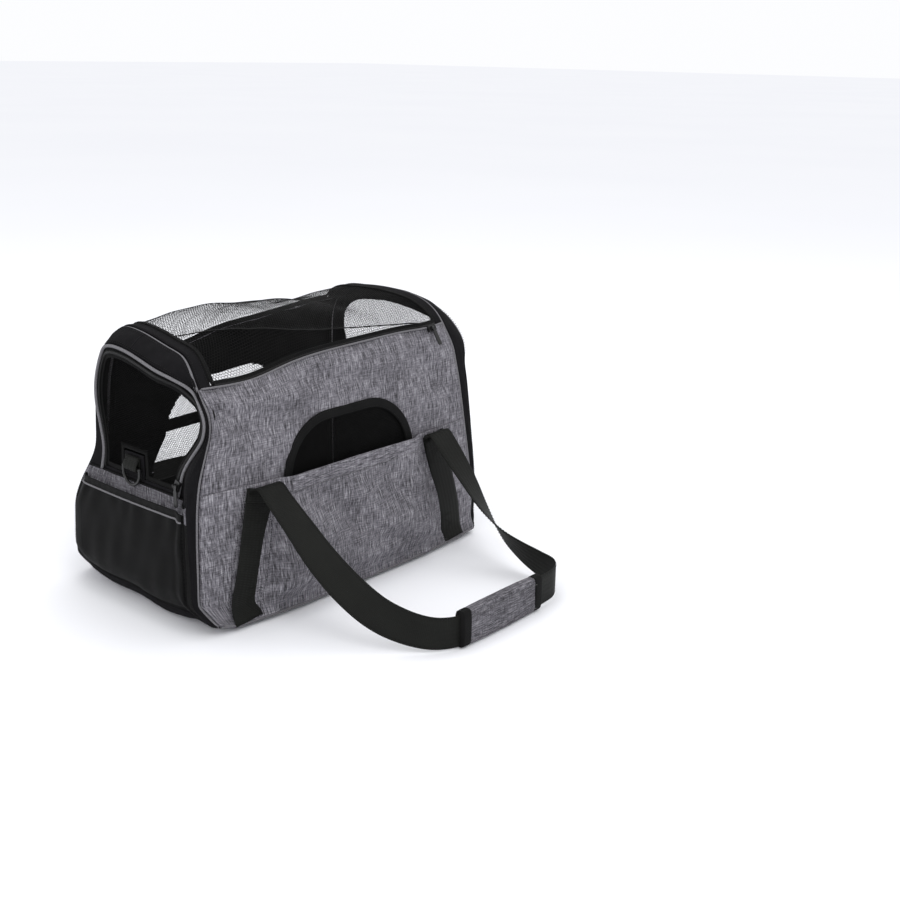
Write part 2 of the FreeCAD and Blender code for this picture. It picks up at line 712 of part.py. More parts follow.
def grip_leaf(side):
    """One padded leaf, with round edges; side is -1 in front of the strap and +1 behind."""
    near = side * GRIP_SLOT / 2
    far = near + side * GRIP_LEAF
    leaf = block(GRIP_X, (GRIP_Y + min(near, far), GRIP_Y + max(near, far)),
                 (GRIP_BOTTOM_Z, GRIP_TOP_Z))
    outer = [
        e for e in leaf.Edges
        if abs(e.tangentAt(0).x) > 0.9 and abs(e.BoundBox.YMin - (GRIP_Y + far)) < 0.01
    ]
    return leaf.makeFillet(GRIP_LEAF - 1.2, outer)


def make_grip_bindings():
    """Black binding over each end of the front leaf."""
    near = GRIP_Y - GRIP_SLOT / 2
    bands = []
    for x0 in (GRIP_X[0] - GAP - GRIP_BINDING, GRIP_X[1] + GAP):
        band = block((x0, x0 + GRIP_BINDING), (near - GRIP_LEAF - 1.0, near),
                     (GRIP_BOTTOM_Z, GRIP_TOP_Z + 0.6))
        outer = [
            e for e in band.Edges
            if abs(e.tangentAt(0).x) > 0.9 and abs(e.BoundBox.YMin - (near - GRIP_LEAF - 1)) < 0.01
        ]
        bands.append(band.makeFillet(GRIP_LEAF - 1.2, outer))
    return Part.makeCompound(bands)


def make_grip_strip(side):
    """Hook or loop strip along the lower edge of a leaf's inner face, below the strap."""
    y0 = GRIP_Y + side * GRIP_SLOT / 2
    y1 = side * 0.15 + GRIP_Y
    strip = block((GRIP_X[0] + 8, GRIP_X[1] - 8), (min(y0, y1), max(y0, y1)), (40.4, 43.6))
    return strip


# ---------------------------------------------------------------- assembly
def end_pieces():
    slider, pull = make_door_slider()
    return {
        "outer_piping": make_outer_piping(),
        "hoop_band": make_hoop_band(),
        "hoop_wire": make_hoop_wire(),
        "inner_piping": make_inner_piping(),
        "door_track": make_door_track(),
        "end_gusset": make_end_gusset(),
        "lower_panel": make_lower_panel(),
        "pocket": make_end_pocket(),
        "pocket_rim": make_pocket_rim(),
        "ring_tab": make_ring_tab(),
        "d_ring": make_d_ring(),
        "door_binding": make_door_binding(),
        "door_mesh": make_door_mesh(),
        "door_slider": slider,
        "door_pull": pull,
    }


def all_pieces():
    top_slider, top_pull = make_top_slider()
    pieces = {
        "base_panel": make_base_panel(),
        "base_board": make_base_board(),
        "sleeping_pad": make_sleeping_pad(),
        "front_panel": front(make_wall(WINDOW_TOP_Z)),
        "front_window_mesh": front(make_window_mesh(WINDOW_TOP_Z)),
        "front_window_binding": front(make_window_binding(WINDOW_TOP_Z)),
        "front_pocket": make_front_pocket(),
        "front_pocket_hem": make_pocket_hem(),
        "front_webs": front(make_webs(-4.8, -2.6)),
        "back_panel": back(make_wall(BACK_WINDOW_TOP_Z)),
        "back_window_mesh": back(make_window_mesh(BACK_WINDOW_TOP_Z)),
        "back_window_binding": back(make_window_binding(BACK_WINDOW_TOP_Z)),
        "back_upper_band": make_back_band(161.0, 177.0),
        "back_lower_band": make_back_band(64.0, 86.0),
        "back_webs": back(make_webs(-6.0, -3.9)),
        "top_zip_track": make_top_zip_track(),
        "top_back_tape": make_top_back_tape(),
        "top_side_tapes": make_top_side_tapes(),
        "top_flap_binding": make_top_flap_binding(),
        "top_mesh": make_top_mesh(),
        "top_slider": top_slider,
        "top_pull": top_pull,
        "front_handle_strap": make_strap(FRONT_HANDLE),
        "back_handle_strap": make_strap(BACK_HANDLE),
        "grip_back_leaf": grip_leaf(1),
        "grip_front_leaf": grip_leaf(-1),
        "grip_bindings": make_grip_bindings(),
        "grip_loop_strip": make_grip_strip(1),
        "grip_hook_strip": make_grip_strip(-1),
    }
    for name, shape in end_pieces().items():
        pieces["right_" + name] = shape
        pieces["left_" + name] = shape.mirror(Vec(0, 0, 0), Vec(1, 0, 0))
    return pieces


def main():
    os.makedirs("parts", exist_ok=True)
    for name, shape in sorted(all_pieces().items()):
        whole = solid_of(shape)
        print(f"{name:24s} solids {len(shape.Solids)} volume {whole.Volume:12.1f} valid {whole.isValid()}")
        whole.exportStep(f"parts/{name}.step")


main()
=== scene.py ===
"""Soft-sided pet carrier bag: the visual model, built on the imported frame. Shapes are in millimetres."""
import math

import bpy
import numpy as np
from mathutils import Matrix, Vector


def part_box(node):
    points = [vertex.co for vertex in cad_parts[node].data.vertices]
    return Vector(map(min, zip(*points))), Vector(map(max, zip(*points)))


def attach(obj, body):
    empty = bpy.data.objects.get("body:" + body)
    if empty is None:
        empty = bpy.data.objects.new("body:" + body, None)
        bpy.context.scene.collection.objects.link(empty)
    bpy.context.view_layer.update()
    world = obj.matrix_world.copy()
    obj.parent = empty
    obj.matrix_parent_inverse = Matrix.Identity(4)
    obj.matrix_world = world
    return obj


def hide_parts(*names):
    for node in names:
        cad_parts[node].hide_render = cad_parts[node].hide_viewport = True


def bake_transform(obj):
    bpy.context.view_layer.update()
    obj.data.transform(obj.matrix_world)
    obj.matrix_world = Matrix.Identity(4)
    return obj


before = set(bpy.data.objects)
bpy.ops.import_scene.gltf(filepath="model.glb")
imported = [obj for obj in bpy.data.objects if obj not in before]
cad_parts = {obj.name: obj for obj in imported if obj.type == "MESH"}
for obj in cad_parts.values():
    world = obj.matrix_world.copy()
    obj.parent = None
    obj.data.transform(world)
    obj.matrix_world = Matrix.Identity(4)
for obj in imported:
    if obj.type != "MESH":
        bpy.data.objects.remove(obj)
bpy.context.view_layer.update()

MM = 0.001
TAU = 2 * math.pi

# ---------------------------------------------------------------- the bag's section and planes
HEIGHT, HALF_WIDTH, WIDEST_Z = 323.0, 129.0, 70.0
TOP_R, SIDE_R, CORNER_R = 380.0, 1400.0, 18.0
EDGE_X, EDGE_SLOPE = 210.0, 0.07
EDGE_LEAN = math.atan(EDGE_SLOPE)
END_X, END_LEAN = 218.0, math.atan(0.02)
PANEL_TOP_DEG, TRACK_TOP_DEG, FLAP_EDGE_DEG = 35.0, 37.6, 38.1
POCKET_TOP_Z, BASE_SEAM_Z, SILL_Z, DOOR_Z = 161.0, 11.0, 152.3, 157.0
FRONT, BACK = -1, 1
SIDES = (("left", -1), ("right", 1))


def pack(*coordinates):
    """Points from their coordinates."""
    return np.stack(np.broadcast_arrays(*coordinates), -1)


class Section:
    """Half of a closed outline of tangent arcs, from the bottom's middle to the top's."""

    def __init__(self, height, half_width, shoulder_r, floor):
        top = np.array([0.0, height - TOP_R])
        side = np.array([half_width - SIDE_R, WIDEST_Z])
        rise = side[1] - CORNER_R - floor
        corner = np.array([side[0] + math.sqrt((SIDE_R - CORNER_R) ** 2 - rise ** 2), CORNER_R + floor])
        far_top, far_side = TOP_R - shoulder_r, SIDE_R - shoulder_r
        step = top - side
        apart = np.linalg.norm(step)
        along = (far_side ** 2 - far_top ** 2 + apart ** 2) / (2 * apart)
        across = math.sqrt(far_side ** 2 - along ** 2)
        e = step / apart
        shoulder = side + along * e + across * np.array([-e[1], e[0]])
        self.shoulder, self.shoulder_r = shoulder, shoulder_r
        a1 = math.atan2(*(corner - side)[::-1])
        a2 = math.atan2(*(shoulder - side)[::-1])
        a3 = math.atan2(*(shoulder - top)[::-1])
        parts = [
            (corner, CORNER_R, -math.pi / 2, a1, 14), (side, SIDE_R, a1, a2, 60),
            (shoulder, shoulder_r, a2, a3, 40), (top, TOP_R, a3, math.pi / 2, 40),
        ]
        y = np.linspace(0, corner[0], 24)[:-1]
        pts = [pack(y, np.full_like(y, floor))]
        nor = [np.tile([0.0, -1.0], (len(y), 1))]
        marks = [0]
        for centre, r, a, b, n in parts:
            marks.append(sum(len(p) for p in pts))
            t = np.linspace(a, b, n + 1)
            t = t if centre is top else t[:-1]
            d = pack(np.cos(t), np.sin(t))
            pts.append(centre + r * d)
            nor.append(d)
        self.p, self.n = np.concatenate(pts), np.concatenate(nor)
        self.s = np.concatenate([[0], np.cumsum(np.linalg.norm(np.diff(self.p, axis=0), axis=1))])
        self.marks = [self.s[m] for m in marks] + [self.s[-1]]
        self.length = self.s[-1]

    def at(self, s, off=0.0):
        y, z = (np.interp(s, self.s, self.p[:, i]) for i in (0, 1))
        ny, nz = (np.interp(s, self.s, self.n[:, i]) for i in (0, 1))
        return y + off * ny, z + off * nz

    def s_at_z(self, z):
        return float(np.interp(z, self.p[:, 1], self.s))

    def s_at_degrees(self, degrees):
        a = math.radians(degrees)
        return self.s_at_z(self.shoulder[1] + self.shoulder_r * math.sin(a))

    def same_place(self, tau):
        """Arc length at tau, which counts segments: two sections then match segment by segment."""
        return np.interp(tau, range(len(self.marks)), self.marks)


WRAP = Section(HEIGHT, HALF_WIDTH, 80.0, 0.0)
ARCH = Section(309.0, 127.0, 77.0, 12.0)


def smooth(v, low=0.0, high=1.0):
    t = np.clip((np.asarray(v, float) - low) / (high - low), 0, 1)
    return t * t * (3 - 2 * t)


def ripple(a, b, seed, size):
    """Smooth waves from -1 to 1, about that size in millimetres."""
    rng = np.random.default_rng(seed)
    total = 0.0
    for _ in range(6):
        turn, k, phase = rng.uniform(0, TAU), TAU / size * rng.uniform(0.6, 1.5), rng.uniform(0, TAU)
        total = total + np.sin(k * (a * math.cos(turn) + b * math.sin(turn)) + phase)
    return total / 4


def hump(v, middle, width):
    return np.exp(-(((v - middle) / width) ** 2))


def soft(p):
    """The slump of the cloth: a square bottom edge, a low belly, proud ends, a back that leans in."""
    p = np.array(p, float)
    x, y, z = p[..., 0], p[..., 1], p[..., 2]
    wide = np.abs(y) / 128.0
    outer = smooth(np.abs(y), 60, 122)
    ends = smooth(np.abs(x), 120, 212)
    left, right = ends * (x < 0), ends * (x > 0)
    front = smooth(-y, 60, 122)
    # bottom edge and belly
    low_edge = 1 - smooth(z, 2, 26)
    dy = np.sign(y) * outer * low_edge * 10.0
    dy += np.sign(y) * wide ** 3 * hump(z, 45, 60) * (3.0 + 8.0 * (1 - smooth(np.abs(x), 80, 205)))
    dy -= np.sign(y) * wide ** 4 * ends * (3.0 + 4.0 * hump(z, 110, 80)) * (1 - 0.6 * low_edge)
    dz = -outer * hump(z, 13, 10) * 5.0
    # the back leans in, most of all at the left
    lean = 21.0 - 17.0 * np.clip(x / 200.0, -1, 1)
    dy -= lean * smooth(y, 10, 125) * smooth(z, 90, 180)
    # the front's edges stand proud of the ends; the left one is drawn in at its shoulder
    hollow = 0.52 * hump(z, 236, 46)
    bend = (1 - hollow) * smooth(z, 0, 40)
    corner = np.where(np.abs(x) > 204, smooth(-y, 92, 123), front)
    dx = left * corner * (8.0 * hollow - 17.0 * bend) + right * corner * (6.0 + 12.0 * hump(z, 85, 95))
    dy += left * front * (6.0 * bend - 7.0 * hollow)
    dx += left * (7.0 * smooth(y, 40, 110) * smooth(z, 130, 190) - 2.0 * (1 - front) * outer)
    drawn = smooth(-x, 197, 212) * smooth(z, 176, 224) * (1 - smooth(z, 286, 306))
    dx += drawn * smooth(-y, 40, 105) * 13.0
    dy -= drawn * hump(y, -104, 26) * 4.0
    dx += smooth(x, 194, 212) * front * smooth(z, 225, 260) * 7.0
    dx -= right * (1 - smooth(x, 191, 204)) * front * smooth(z, 245, 282) * 8.0
    # bottom corners are lifted round
    lift = smooth(np.abs(x), 170, 214) ** 1.5 * smooth(np.abs(y), 74, 128) * (1 - smooth(z, 0, 55))
    lift = lift * np.where(x < 0, 1.0, 0.3)
    dz += 9.0 * lift
    dx -= np.sign(x) * 4.0 * lift
    # the front shoulder droops to the left, the back one too; the top swells left and sags right
    shoulder = smooth(-y, 55, 105) * smooth(z, 205, 270) * np.clip(x / 190.0, -1.1, 1.1)
    dy += 3.5 * shoulder
    dz += 2.5 * shoulder
    dz += smooth(y, 35, 105) * smooth(z, 190, 275) * (7.0 * smooth(x, 0, 170) - 15.0 * hump(x, -105, 62))
    dz -= 14.0 * hump(y, -54, 62) * smooth(z, 232, 285) * smooth(-x, 70, 205)
    edge = smooth(-x, 190, 214) * (1 - smooth(z, 5, 70)) * (1 - smooth(-y, 90, 125))
    dz += edge * (7.5 + 6.5 * smooth(y, 10, 90) + 2.4 * np.sin(y / 17.0 + 1.0))
    brow = smooth(-y, 60, 100) * smooth(z, 236, 284)
    dz -= brow * (9.0 * hump(x, -128, 60) + 1.5 * hump(x, 160, 36))
    dy -= brow * 4.5 * hump(x, 160, 36)
    inner = smooth(x, 204, 211)
    dy += inner * 11.0 * hump(y, 92, 30) * hump(z, 262, 40)
    dz += inner * 6.0 * hump(y, 40, 60) * smooth(z, 235, 290) * (1 - smooth(z, 300, 312))
    crown = smooth(z, 296, 322)
    dz += crown * (5.0 * hump(x, -95, 60) - 11.0 * hump(x, 98, 62) + 1.0 * smooth(-x, 160, 200))
    return pack(x + dx, y + dy, np.maximum(z + dz, 0.35))


def wall(side, x, s, off=0.0):
    """Points on the front or back of the wrap."""
    y, z = WRAP.at(s, off)
    return soft(pack(x, side * y, z))


def leaning(k, x0, lean, out, y, z):
    cos, sin = math.cos(lean), math.sin(lean)
    return soft(pack(k * (x0 + out * cos - z * sin), y, z * cos + out * sin))


def edge_plane(k, out, y, z):
    return leaning(k, EDGE_X, EDGE_LEAN, out, y, z)


def end_plane(k, out, y, z):
    return leaning(k, END_X, END_LEAN, out, y, z)


# ---------------------------------------------------------------- mesh building
def build(name, verts, faces, material, body="bag", nodes=(), slot=None, uv=None):
    """An object from millimetre points. It rides on a body and stands for the CAD nodes named, or for
    the one that has its name; its slot argument is not used."""
    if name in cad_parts:
        nodes = nodes or [name]
        name += "_soft"
    me = bpy.data.meshes.new(name)
    faces = faces.tolist() if isinstance(faces, np.ndarray) else faces
    me.from_pydata((np.asarray(verts, float).reshape(-1, 3) * MM).tolist(), [], faces)
    if uv is not None:
        layer = me.uv_layers.new(name="UVMap")
        index = np.zeros(len(me.loops), int)
        me.loops.foreach_get("vertex_index", index)
        layer.data.foreach_set("uv", np.asarray(uv, float).reshape(-1, 2)[index].ravel())
    me.polygons.foreach_set("use_smooth", [True] * len(me.polygons))
    materials = material if isinstance(material, list) else [material]
    for m in materials:
        me.materials.append(m)
    me.update()
    ob = bpy.data.objects.new(name, me)
    bpy.context.collection.objects.link(ob)
    if body:
        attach(ob, body)
    if nodes:
        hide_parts(*nodes)
    return ob


def grid_faces(rows, cols, keep=None, flip=False):
    i, j = np.meshgrid(np.arange(rows - 1), np.arange(cols - 1), indexing="ij")
    f = pack(i * cols + j, (i + 1) * cols + j, (i + 1) * cols + j + 1, i * cols + j + 1)
    f = f[keep] if keep is not None else f.reshape(-1, 4)
    return f[:, ::-1] if flip else f


def thicken(ob, thick, inner=0):
    m = ob.modifiers.new("thickness", "SOLIDIFY")
    m.thickness, m.offset, m.material_offset = thick * MM, -1.0, inner
    return ob


def trimmed(verts, faces, uv):
    used, faces = np.unique(faces, return_inverse=True)
    return verts.reshape(-1, 3)[used], faces.reshape(-1, 4), uv.reshape(-1, 2)[used]


def grid(name, points, uv, material, keep=None, flip=False, thick=1.6, inner=0, **kw):
    """A cloth panel from a grid of points, with a thickness towards its back."""
    v, f, t = trimmed(points, grid_faces(*points.shape[:2], keep, flip), uv)
    return thicken(build(name, v, f, material, uv=t, **kw), thick, inner)


def frames(path, closed=False, across=None):
    """Tangents, and two unit vectors across them."""
    path = np.asarray(path, float)
    t = np.roll(path, -1, 0) - np.roll(path, 1, 0) if closed else np.gradient(path, axis=0)
    t /= np.linalg.norm(t, axis=1, keepdims=True)
    if across is None:
        a = np.zeros_like(path)
        seed = np.array([0.0, 0.0, 1.0]) if abs(t[0][2]) < 0.9 else np.array([1.0, 0.0, 0.0])
        last = np.cross(t[0], seed)
        for i, d in enumerate(t):
            last = last - d * (last @ d)
            last /= np.linalg.norm(last)
            a[i] = last
    else:
        a = np.asarray(across, float)
        a = a - t * (a * t).sum(1, keepdims=True)
        a /= np.linalg.norm(a, axis=1, keepdims=True)
    return t, a, np.cross(t, a)


def lengths(path):
    return np.concatenate([[0], np.cumsum(np.linalg.norm(np.diff(path, axis=0), axis=1))])


def resample(path, step, closed=False):
    path = np.asarray(path, float)
    if closed:
        path = np.concatenate([path, path[:1]])
    s = lengths(path)
    n = max(int(round(s[-1] / step)), 2)
    t = np.linspace(0, s[-1], n + 1)
    t = t[:-1] if closed else t
    return np.stack([np.interp(t, s, path[:, i]) for i in range(path.shape[1])], 1)


def sweep(path, outline, closed=False, across=None):
    """Vertices, faces and uv of an outline (across, out) carried along a path."""
    path = np.asarray(path, float)
    outline = np.asarray(outline, float)
    _, a, b = frames(path, closed, across)
    n, m = len(path), len(outline)
    v = path[:, None] + a[:, None] * outline[None, :, :1] + b[:, None] * outline[None, :, 1:]
    i, j = np.meshgrid(np.arange(n if closed else n - 1), np.arange(m), indexing="ij")
    up, right = (i + 1) % n, (j + 1) % m
    f = pack(i * m + j, i * m + right, up * m + right, up * m + j).reshape(-1, 4).tolist()
    if not closed:
        f += [list(range(m))[::-1], [(n - 1) * m + q for q in range(m)]]
    round_ = lengths(np.concatenate([outline, outline[:1]]))[:-1]
    s = lengths(path)
    uv = np.stack(np.broadcast_arrays(s[:, None], round_[None, :]), -1)
    return v.reshape(-1, 3), f, uv.reshape(-1, 2)


def circle(r, sides=10):
    a = np.arange(sides) * TAU / sides
    return pack(np.cos(a) * r, np.sin(a) * r)


def band_outline(width, thick, crown=0.0):
    """A flat strip with soft edges, crowned in the middle."""
    w, t = width / 2, thick / 2
    top = [(w * q, t * (1 - 0.35 * abs(q) ** 6) + crown * (1 - q * q)) for q in
           (-0.97, -0.8, -0.4, 0.0, 0.4, 0.8, 0.97)]
    low = [(w * q, -t * (1 - 0.35 * abs(q) ** 6)) for q in (0.97, 0.8, 0.4, 0.0, -0.4, -0.8, -0.97)]
    return np.array(top + [(w, 0.0)] + low + [(-w, 0.0)])


def tube(name, path, r, material, closed=False, **kw):
    v, f, uv = sweep(path, circle(r), closed)
    return build(name, v, f, material, uv=uv, **kw)


def band(name, path, across, width, thick, material, crown=0.0, closed=False, sign=1, **kw):
    v, f, uv = sweep(path, band_outline(width, thick, crown) * [1, sign], closed, across)
    return build(name, v, f, material, uv=uv, **kw)


def level(x, z):
    """(x, z) points at one height."""
    return pack(x, np.full_like(x, z))


def ring(q):
    return np.concatenate([q, q[:1]])


class Pile:
    """Many small meshes joined into one object."""

    def __init__(self):
        self.v, self.f, self.t, self.count = [], [], [], 0

    def add(self, v, f, uv=None):
        v = np.asarray(v, float).reshape(-1, 3)
        self.v.append(v)
        self.t.append(np.zeros((len(v), 2)) if uv is None else np.asarray(uv, float).reshape(-1, 2))
        self.f += [[q + self.count for q in face] for face in np.asarray(f, dtype=object).tolist()]
        self.count += len(v)

    def build(self, name, material, **kw):
        return build(name, np.concatenate(self.v), self.f, material, uv=np.concatenate(self.t), **kw)


def many(shape_v, shape_f, centres, ax, ay, az):
    """Copies of one small shape at many places, each with its own axes."""
    v = (centres[:, None] + shape_v[None, :, :1] * ax[:, None] + shape_v[None, :, 1:2] * ay[:, None]
         + shape_v[None, :, 2:] * az[:, None])
    step = np.arange(len(centres))[:, None, None] * len(shape_v)
    f = (np.asarray(shape_f)[None] + step).reshape(-1, np.asarray(shape_f).shape[1])
    return v.reshape(-1, 3), f


STITCH_V = np.array([(-1, 0, 0), (-0.5, 1, 0), (-0.5, 0, 1), (-0.5, -1, 0), (-0.5, 0, -0.4), (0.5, 1, 0),
                     (0.5, 0, 1), (0.5, -1, 0), (0.5, 0, -0.4), (1, 0, 0)], float)
STITCH_F = [(0, 2, 1, 1), (0, 3, 2, 2), (0, 4, 3, 3), (0, 1, 4, 4), (1, 2, 6, 5), (2, 3, 7, 6), (3, 4, 8, 7),
            (4, 1, 5, 8), (9, 5, 6, 6), (9, 6, 7, 7), (9, 7, 8, 8), (9, 8, 5, 5)]


def stitch(pile, path, normal, step=3.4, length=2.3, r=0.32):
    """Sewn stitches along a path, just proud of the cloth."""
    path = np.asarray(path, float)
    normal = np.broadcast_to(np.asarray(normal, float), path.shape)
    both = resample(np.concatenate([path, normal * 1e-6], 1), step)
    p, n = both[:, :3], both[:, 3:] * 1e6
    t, _, _ = frames(p)
    n = n - t * (n * t).sum(1, keepdims=True)
    n /= np.linalg.norm(n, axis=1, keepdims=True)
    shape = STITCH_V * [length / 2, r * 1.2, r]
    v, f = many(shape, STITCH_F, p + n * 0.12, t, np.cross(n, t), n)
    pile.add(v, [list(dict.fromkeys(q)) for q in f.tolist()])


TOOTH_V = np.array([(x, y, z) for x in (-1, 1) for y in (-1, 1) for z in (0, 1)], float)
TOOTH_V[:, 0] *= np.where(TOOTH_V[:, 2] > 0, 0.7, 1.0)
TOOTH_F = np.array([(0, 1, 3, 2), (4, 6, 7, 5), (0, 4, 5, 1), (2, 3, 7, 6), (1, 5, 7, 3), (0, 2, 6, 4)])


def zip_teeth(pile, path, across, height=1.3, pitch=1.7, reach=2.1):
    """Two interlocking rows of coil teeth."""
    path = np.asarray(path, float)
    both = resample(np.concatenate([path, np.asarray(across) * 1e-6], 1), pitch / 2)
    p, a = both[:, :3], both[:, 3:] * 1e6
    t, a, n = frames(p, across=a)
    odd = np.where(np.arange(len(p)) % 2, 1.0, -1.0)[:, None]
    shape = TOOTH_V * [pitch * 0.3, reach * 0.55, height]
    v, f = many(shape, TOOTH_F, p + a * odd * reach * 0.32, t, a, n)
    pile.add(v, f.tolist())


def hex_net(name, place, inside, box, material, pitch=3.0, open_=0.85, depth=0.4, **kw):
    """Open net of hexagonal cells on the surface place(u, v), with yarns of some depth; its edges
    lie under bindings."""
    (u0, u1), (v0, v1) = box
    rise, r = pitch * math.sqrt(3) / 2, pitch / math.sqrt(3)
    cols, rows = int((u1 - u0) / pitch) + 2, int((v1 - v0) / rise) + 2
    i, j = np.meshgrid(np.arange(cols), np.arange(rows), indexing="ij")
    cu, cv = u0 + (i + 0.5 * (j % 2)) * pitch, v0 + j * rise
    ok = inside(cu, cv)
    cu, cv = cu[ok], cv[ok]
    a = np.radians(30 + 60 * np.arange(6))
    du, dv = np.cos(a) * r, np.sin(a) * r
    outer = pack(cu[:, None] + du, cv[:, None] + dv)
    key = np.round(outer / [pitch / 2, r / 2]).astype(int).reshape(-1, 2)
    _, first, inverse = np.unique(key, axis=0, return_index=True, return_inverse=True)
    inverse = inverse.reshape(-1, 6)
    shared = outer.reshape(-1, 2)[first]
    inner = pack(cu[:, None] + du * open_, cv[:, None] + dv * open_).reshape(-1, 2)
    count = len(shared)
    own = count + np.arange(len(cu))[:, None] * 6 + np.arange(6)[None]
    nxt = [1, 2, 3, 4, 5, 0]
    faces = pack(inverse, inverse[:, nxt], own[:, nxt], own).reshape(-1, 4)
    uv = np.concatenate([shared, inner])
    points = place(uv[:, 0], uv[:, 1])
    if depth:
        # a wall round each hole, along the surface's own normal
        step = 0.5
        du = place(inner[:, 0] + step, inner[:, 1]) - place(inner[:, 0] - step, inner[:, 1])
        dv = place(inner[:, 0], inner[:, 1] + step) - place(inner[:, 0], inner[:, 1] - step)
        n = np.cross(du, dv)
        n *= depth / np.linalg.norm(n, axis=1, keepdims=True)
        low = len(uv) + np.arange(len(cu))[:, None] * 6 + np.arange(6)[None]
        walls = pack(own, own[:, nxt], low[:, nxt], low).reshape(-1, 4)
        faces = np.concatenate([faces, walls])
        points = np.concatenate([points, points[count:] - n])
        uv = np.concatenate([uv, inner])
    return build(name, points, faces, material, uv=uv, **kw)


# ---------------------------------------------------------------- materials
class Mat:
    """A small helper to write node trees."""

    def __init__(self, name, rough=0.8, sheen=0.0, specular=0.5):
        self.m = bpy.data.materials.new(name)
        self.m.use_nodes = True
        self.t = self.m.node_tree
        self.b = self.t.nodes["Principled BSDF"]
        self.b.inputs["Roughness"].default_value = rough
        self.b.inputs["Specular IOR Level"].default_value = specular
        if sheen:
            self.b.inputs["Sheen Weight"].default_value = sheen
            self.b.inputs["Sheen Roughness"].default_value = 0.5
        self.uv = self.node("ShaderNodeTexCoord").outputs["UV"]
        self.obj = [n for n in self.t.nodes if n.type == "TEX_COORD"][0].outputs["Object"]

    def node(self, kind, **inputs):
        n = self.t.nodes.new(kind)
        for key, value in inputs.items():
            self.set(n.inputs[int(key[1:]) if key[0] == "i" and key[1:].isdigit() else key], value)
        return n

    def set(self, socket, value):
        if hasattr(value, "is_linked"):
            self.t.links.new(value, socket)
        else:
            socket.default_value = value

    def math(self, op, a, b=0.0):
        n = self.node("ShaderNodeMath", i0=a, i1=b)
        n.operation = op
        return n.outputs[0]

    def mix(self, *terms):
        """The sum of values, each given with its weight."""
        out = None
        for value, weight in terms:
            part = self.math("MULTIPLY", value, weight)
            out = part if out is None else self.math("ADD", out, part)
        return out

    def scaled(self, x, y, z=1.0, source=None):
        n = self.node("ShaderNodeMapping", Vector=source or self.uv, Scale=(x, y, z))
        return n.outputs[0]

    def noise(self, vector, scale=1.0, detail=2.0, rough=0.5):
        n = self.node("ShaderNodeTexNoise", Vector=vector, Scale=scale, Detail=detail, Roughness=rough)
        return n.outputs[0]

    def ramp(self, value, stops):
        n = self.node("ShaderNodeValToRGB", Fac=value)
        r = n.color_ramp
        while len(r.elements) < len(stops):
            r.elements.new(0.5)
        for e, (at, colour) in zip(r.elements, stops):
            e.position, e.color = at, (*colour, 1.0)
        return n.outputs[0]

    def waves(self, u_pitch, v_pitch):
        """sin(u) * sin(v), for weaves and ribs; a pitch of 0 leaves that way out."""
        parts = self.node("ShaderNodeSeparateXYZ", Vector=self.uv)
        out = None
        for k, pitch in ((0, u_pitch), (1, v_pitch)):
            if pitch:
                w = self.math("SINE", self.math("MULTIPLY", parts.outputs[k], TAU / pitch))
                out = w if out is None else self.math("MULTIPLY", out, w)
        return out

    def colour(self, socket):
        self.set(self.b.inputs["Base Color"], socket)

    def bump(self, height, strength, distance):
        n = self.node("ShaderNodeBump", Height=height, Strength=strength, Distance=distance * MM)
        self.set(self.b.inputs["Normal"], n.outputs[0])


def grey(v, violet=0.0):
    return (v * (1 - violet * 0.3), v * (1 - violet), v * (1 + violet))


def heather(name, gain=1.0):
    m = Mat(name, rough=0.9, specular=0.12)
    upright = m.noise(m.scaled(0.95, 0.085), detail=3.0, rough=0.62)
    across = m.noise(m.scaled(0.07, 0.8), detail=3.0, rough=0.6)
    slub = m.noise(m.scaled(0.42, 0.022), detail=2.0)
    cloud = m.noise(m.scaled(0.02, 0.02), detail=2.0)
    fine = m.noise(m.scaled(1.9, 1.9), detail=1.0)
    total = m.mix((upright, 0.50), (across, 0.24), (slub, 0.16), (fine, 0.06), (cloud, 0.10))
    m.colour(m.ramp(total, [
        (0.39, grey(0.022 * gain, 0.03)), (0.485, grey(0.10 * gain, 0.05)), (0.545, grey(0.185 * gain, 0.06)),
        (0.67, grey(0.46 * gain, 0.03)),
    ]))
    m.bump(m.mix((m.waves(1.1, 1.1), 0.35), (total, 1.0)), 0.55, 0.5)
    return m.m


def cloth(name, value, pitch=1.0, tint=0.0, rough=0.85, sheen=0.0, bump=0.25, contrast=0.35):
    m = Mat(name, rough=rough, sheen=sheen, specular=0.10)
    blotch = m.noise(m.scaled(0.05, 0.05), detail=3.0)
    grain = m.noise(m.scaled(1.2, 1.2), detail=2.0)
    low, high = value * (1 - contrast), value * (1 + contrast)
    m.colour(m.ramp(m.mix((blotch, 0.5), (grain, 0.5)), [(0.35, grey(low, tint)), (0.65, grey(high, tint))]))
    m.bump(m.math("ADD", m.waves(pitch, pitch), grain), 0.5, bump)
    return m.m


def webbing_material():
    m = Mat("webbing", rough=0.6, specular=0.14)
    rib = m.waves(1.9, 0)
    groove = m.waves(0, 5.4)
    grain = m.noise(m.scaled(0.9, 2.4), detail=2.0)
    wear = m.noise(m.scaled(0.03, 0.05), detail=3.0)
    m.colour(m.ramp(m.mix((grain, 0.6), (wear, 0.4)), [(0.3, grey(0.0035, -0.1)), (0.7, grey(0.0085, -0.1))]))
    m.bump(m.mix((rib, 0.6), (groove, 0.35), (grain, 0.4)), 0.6, 0.35)
    return m.m


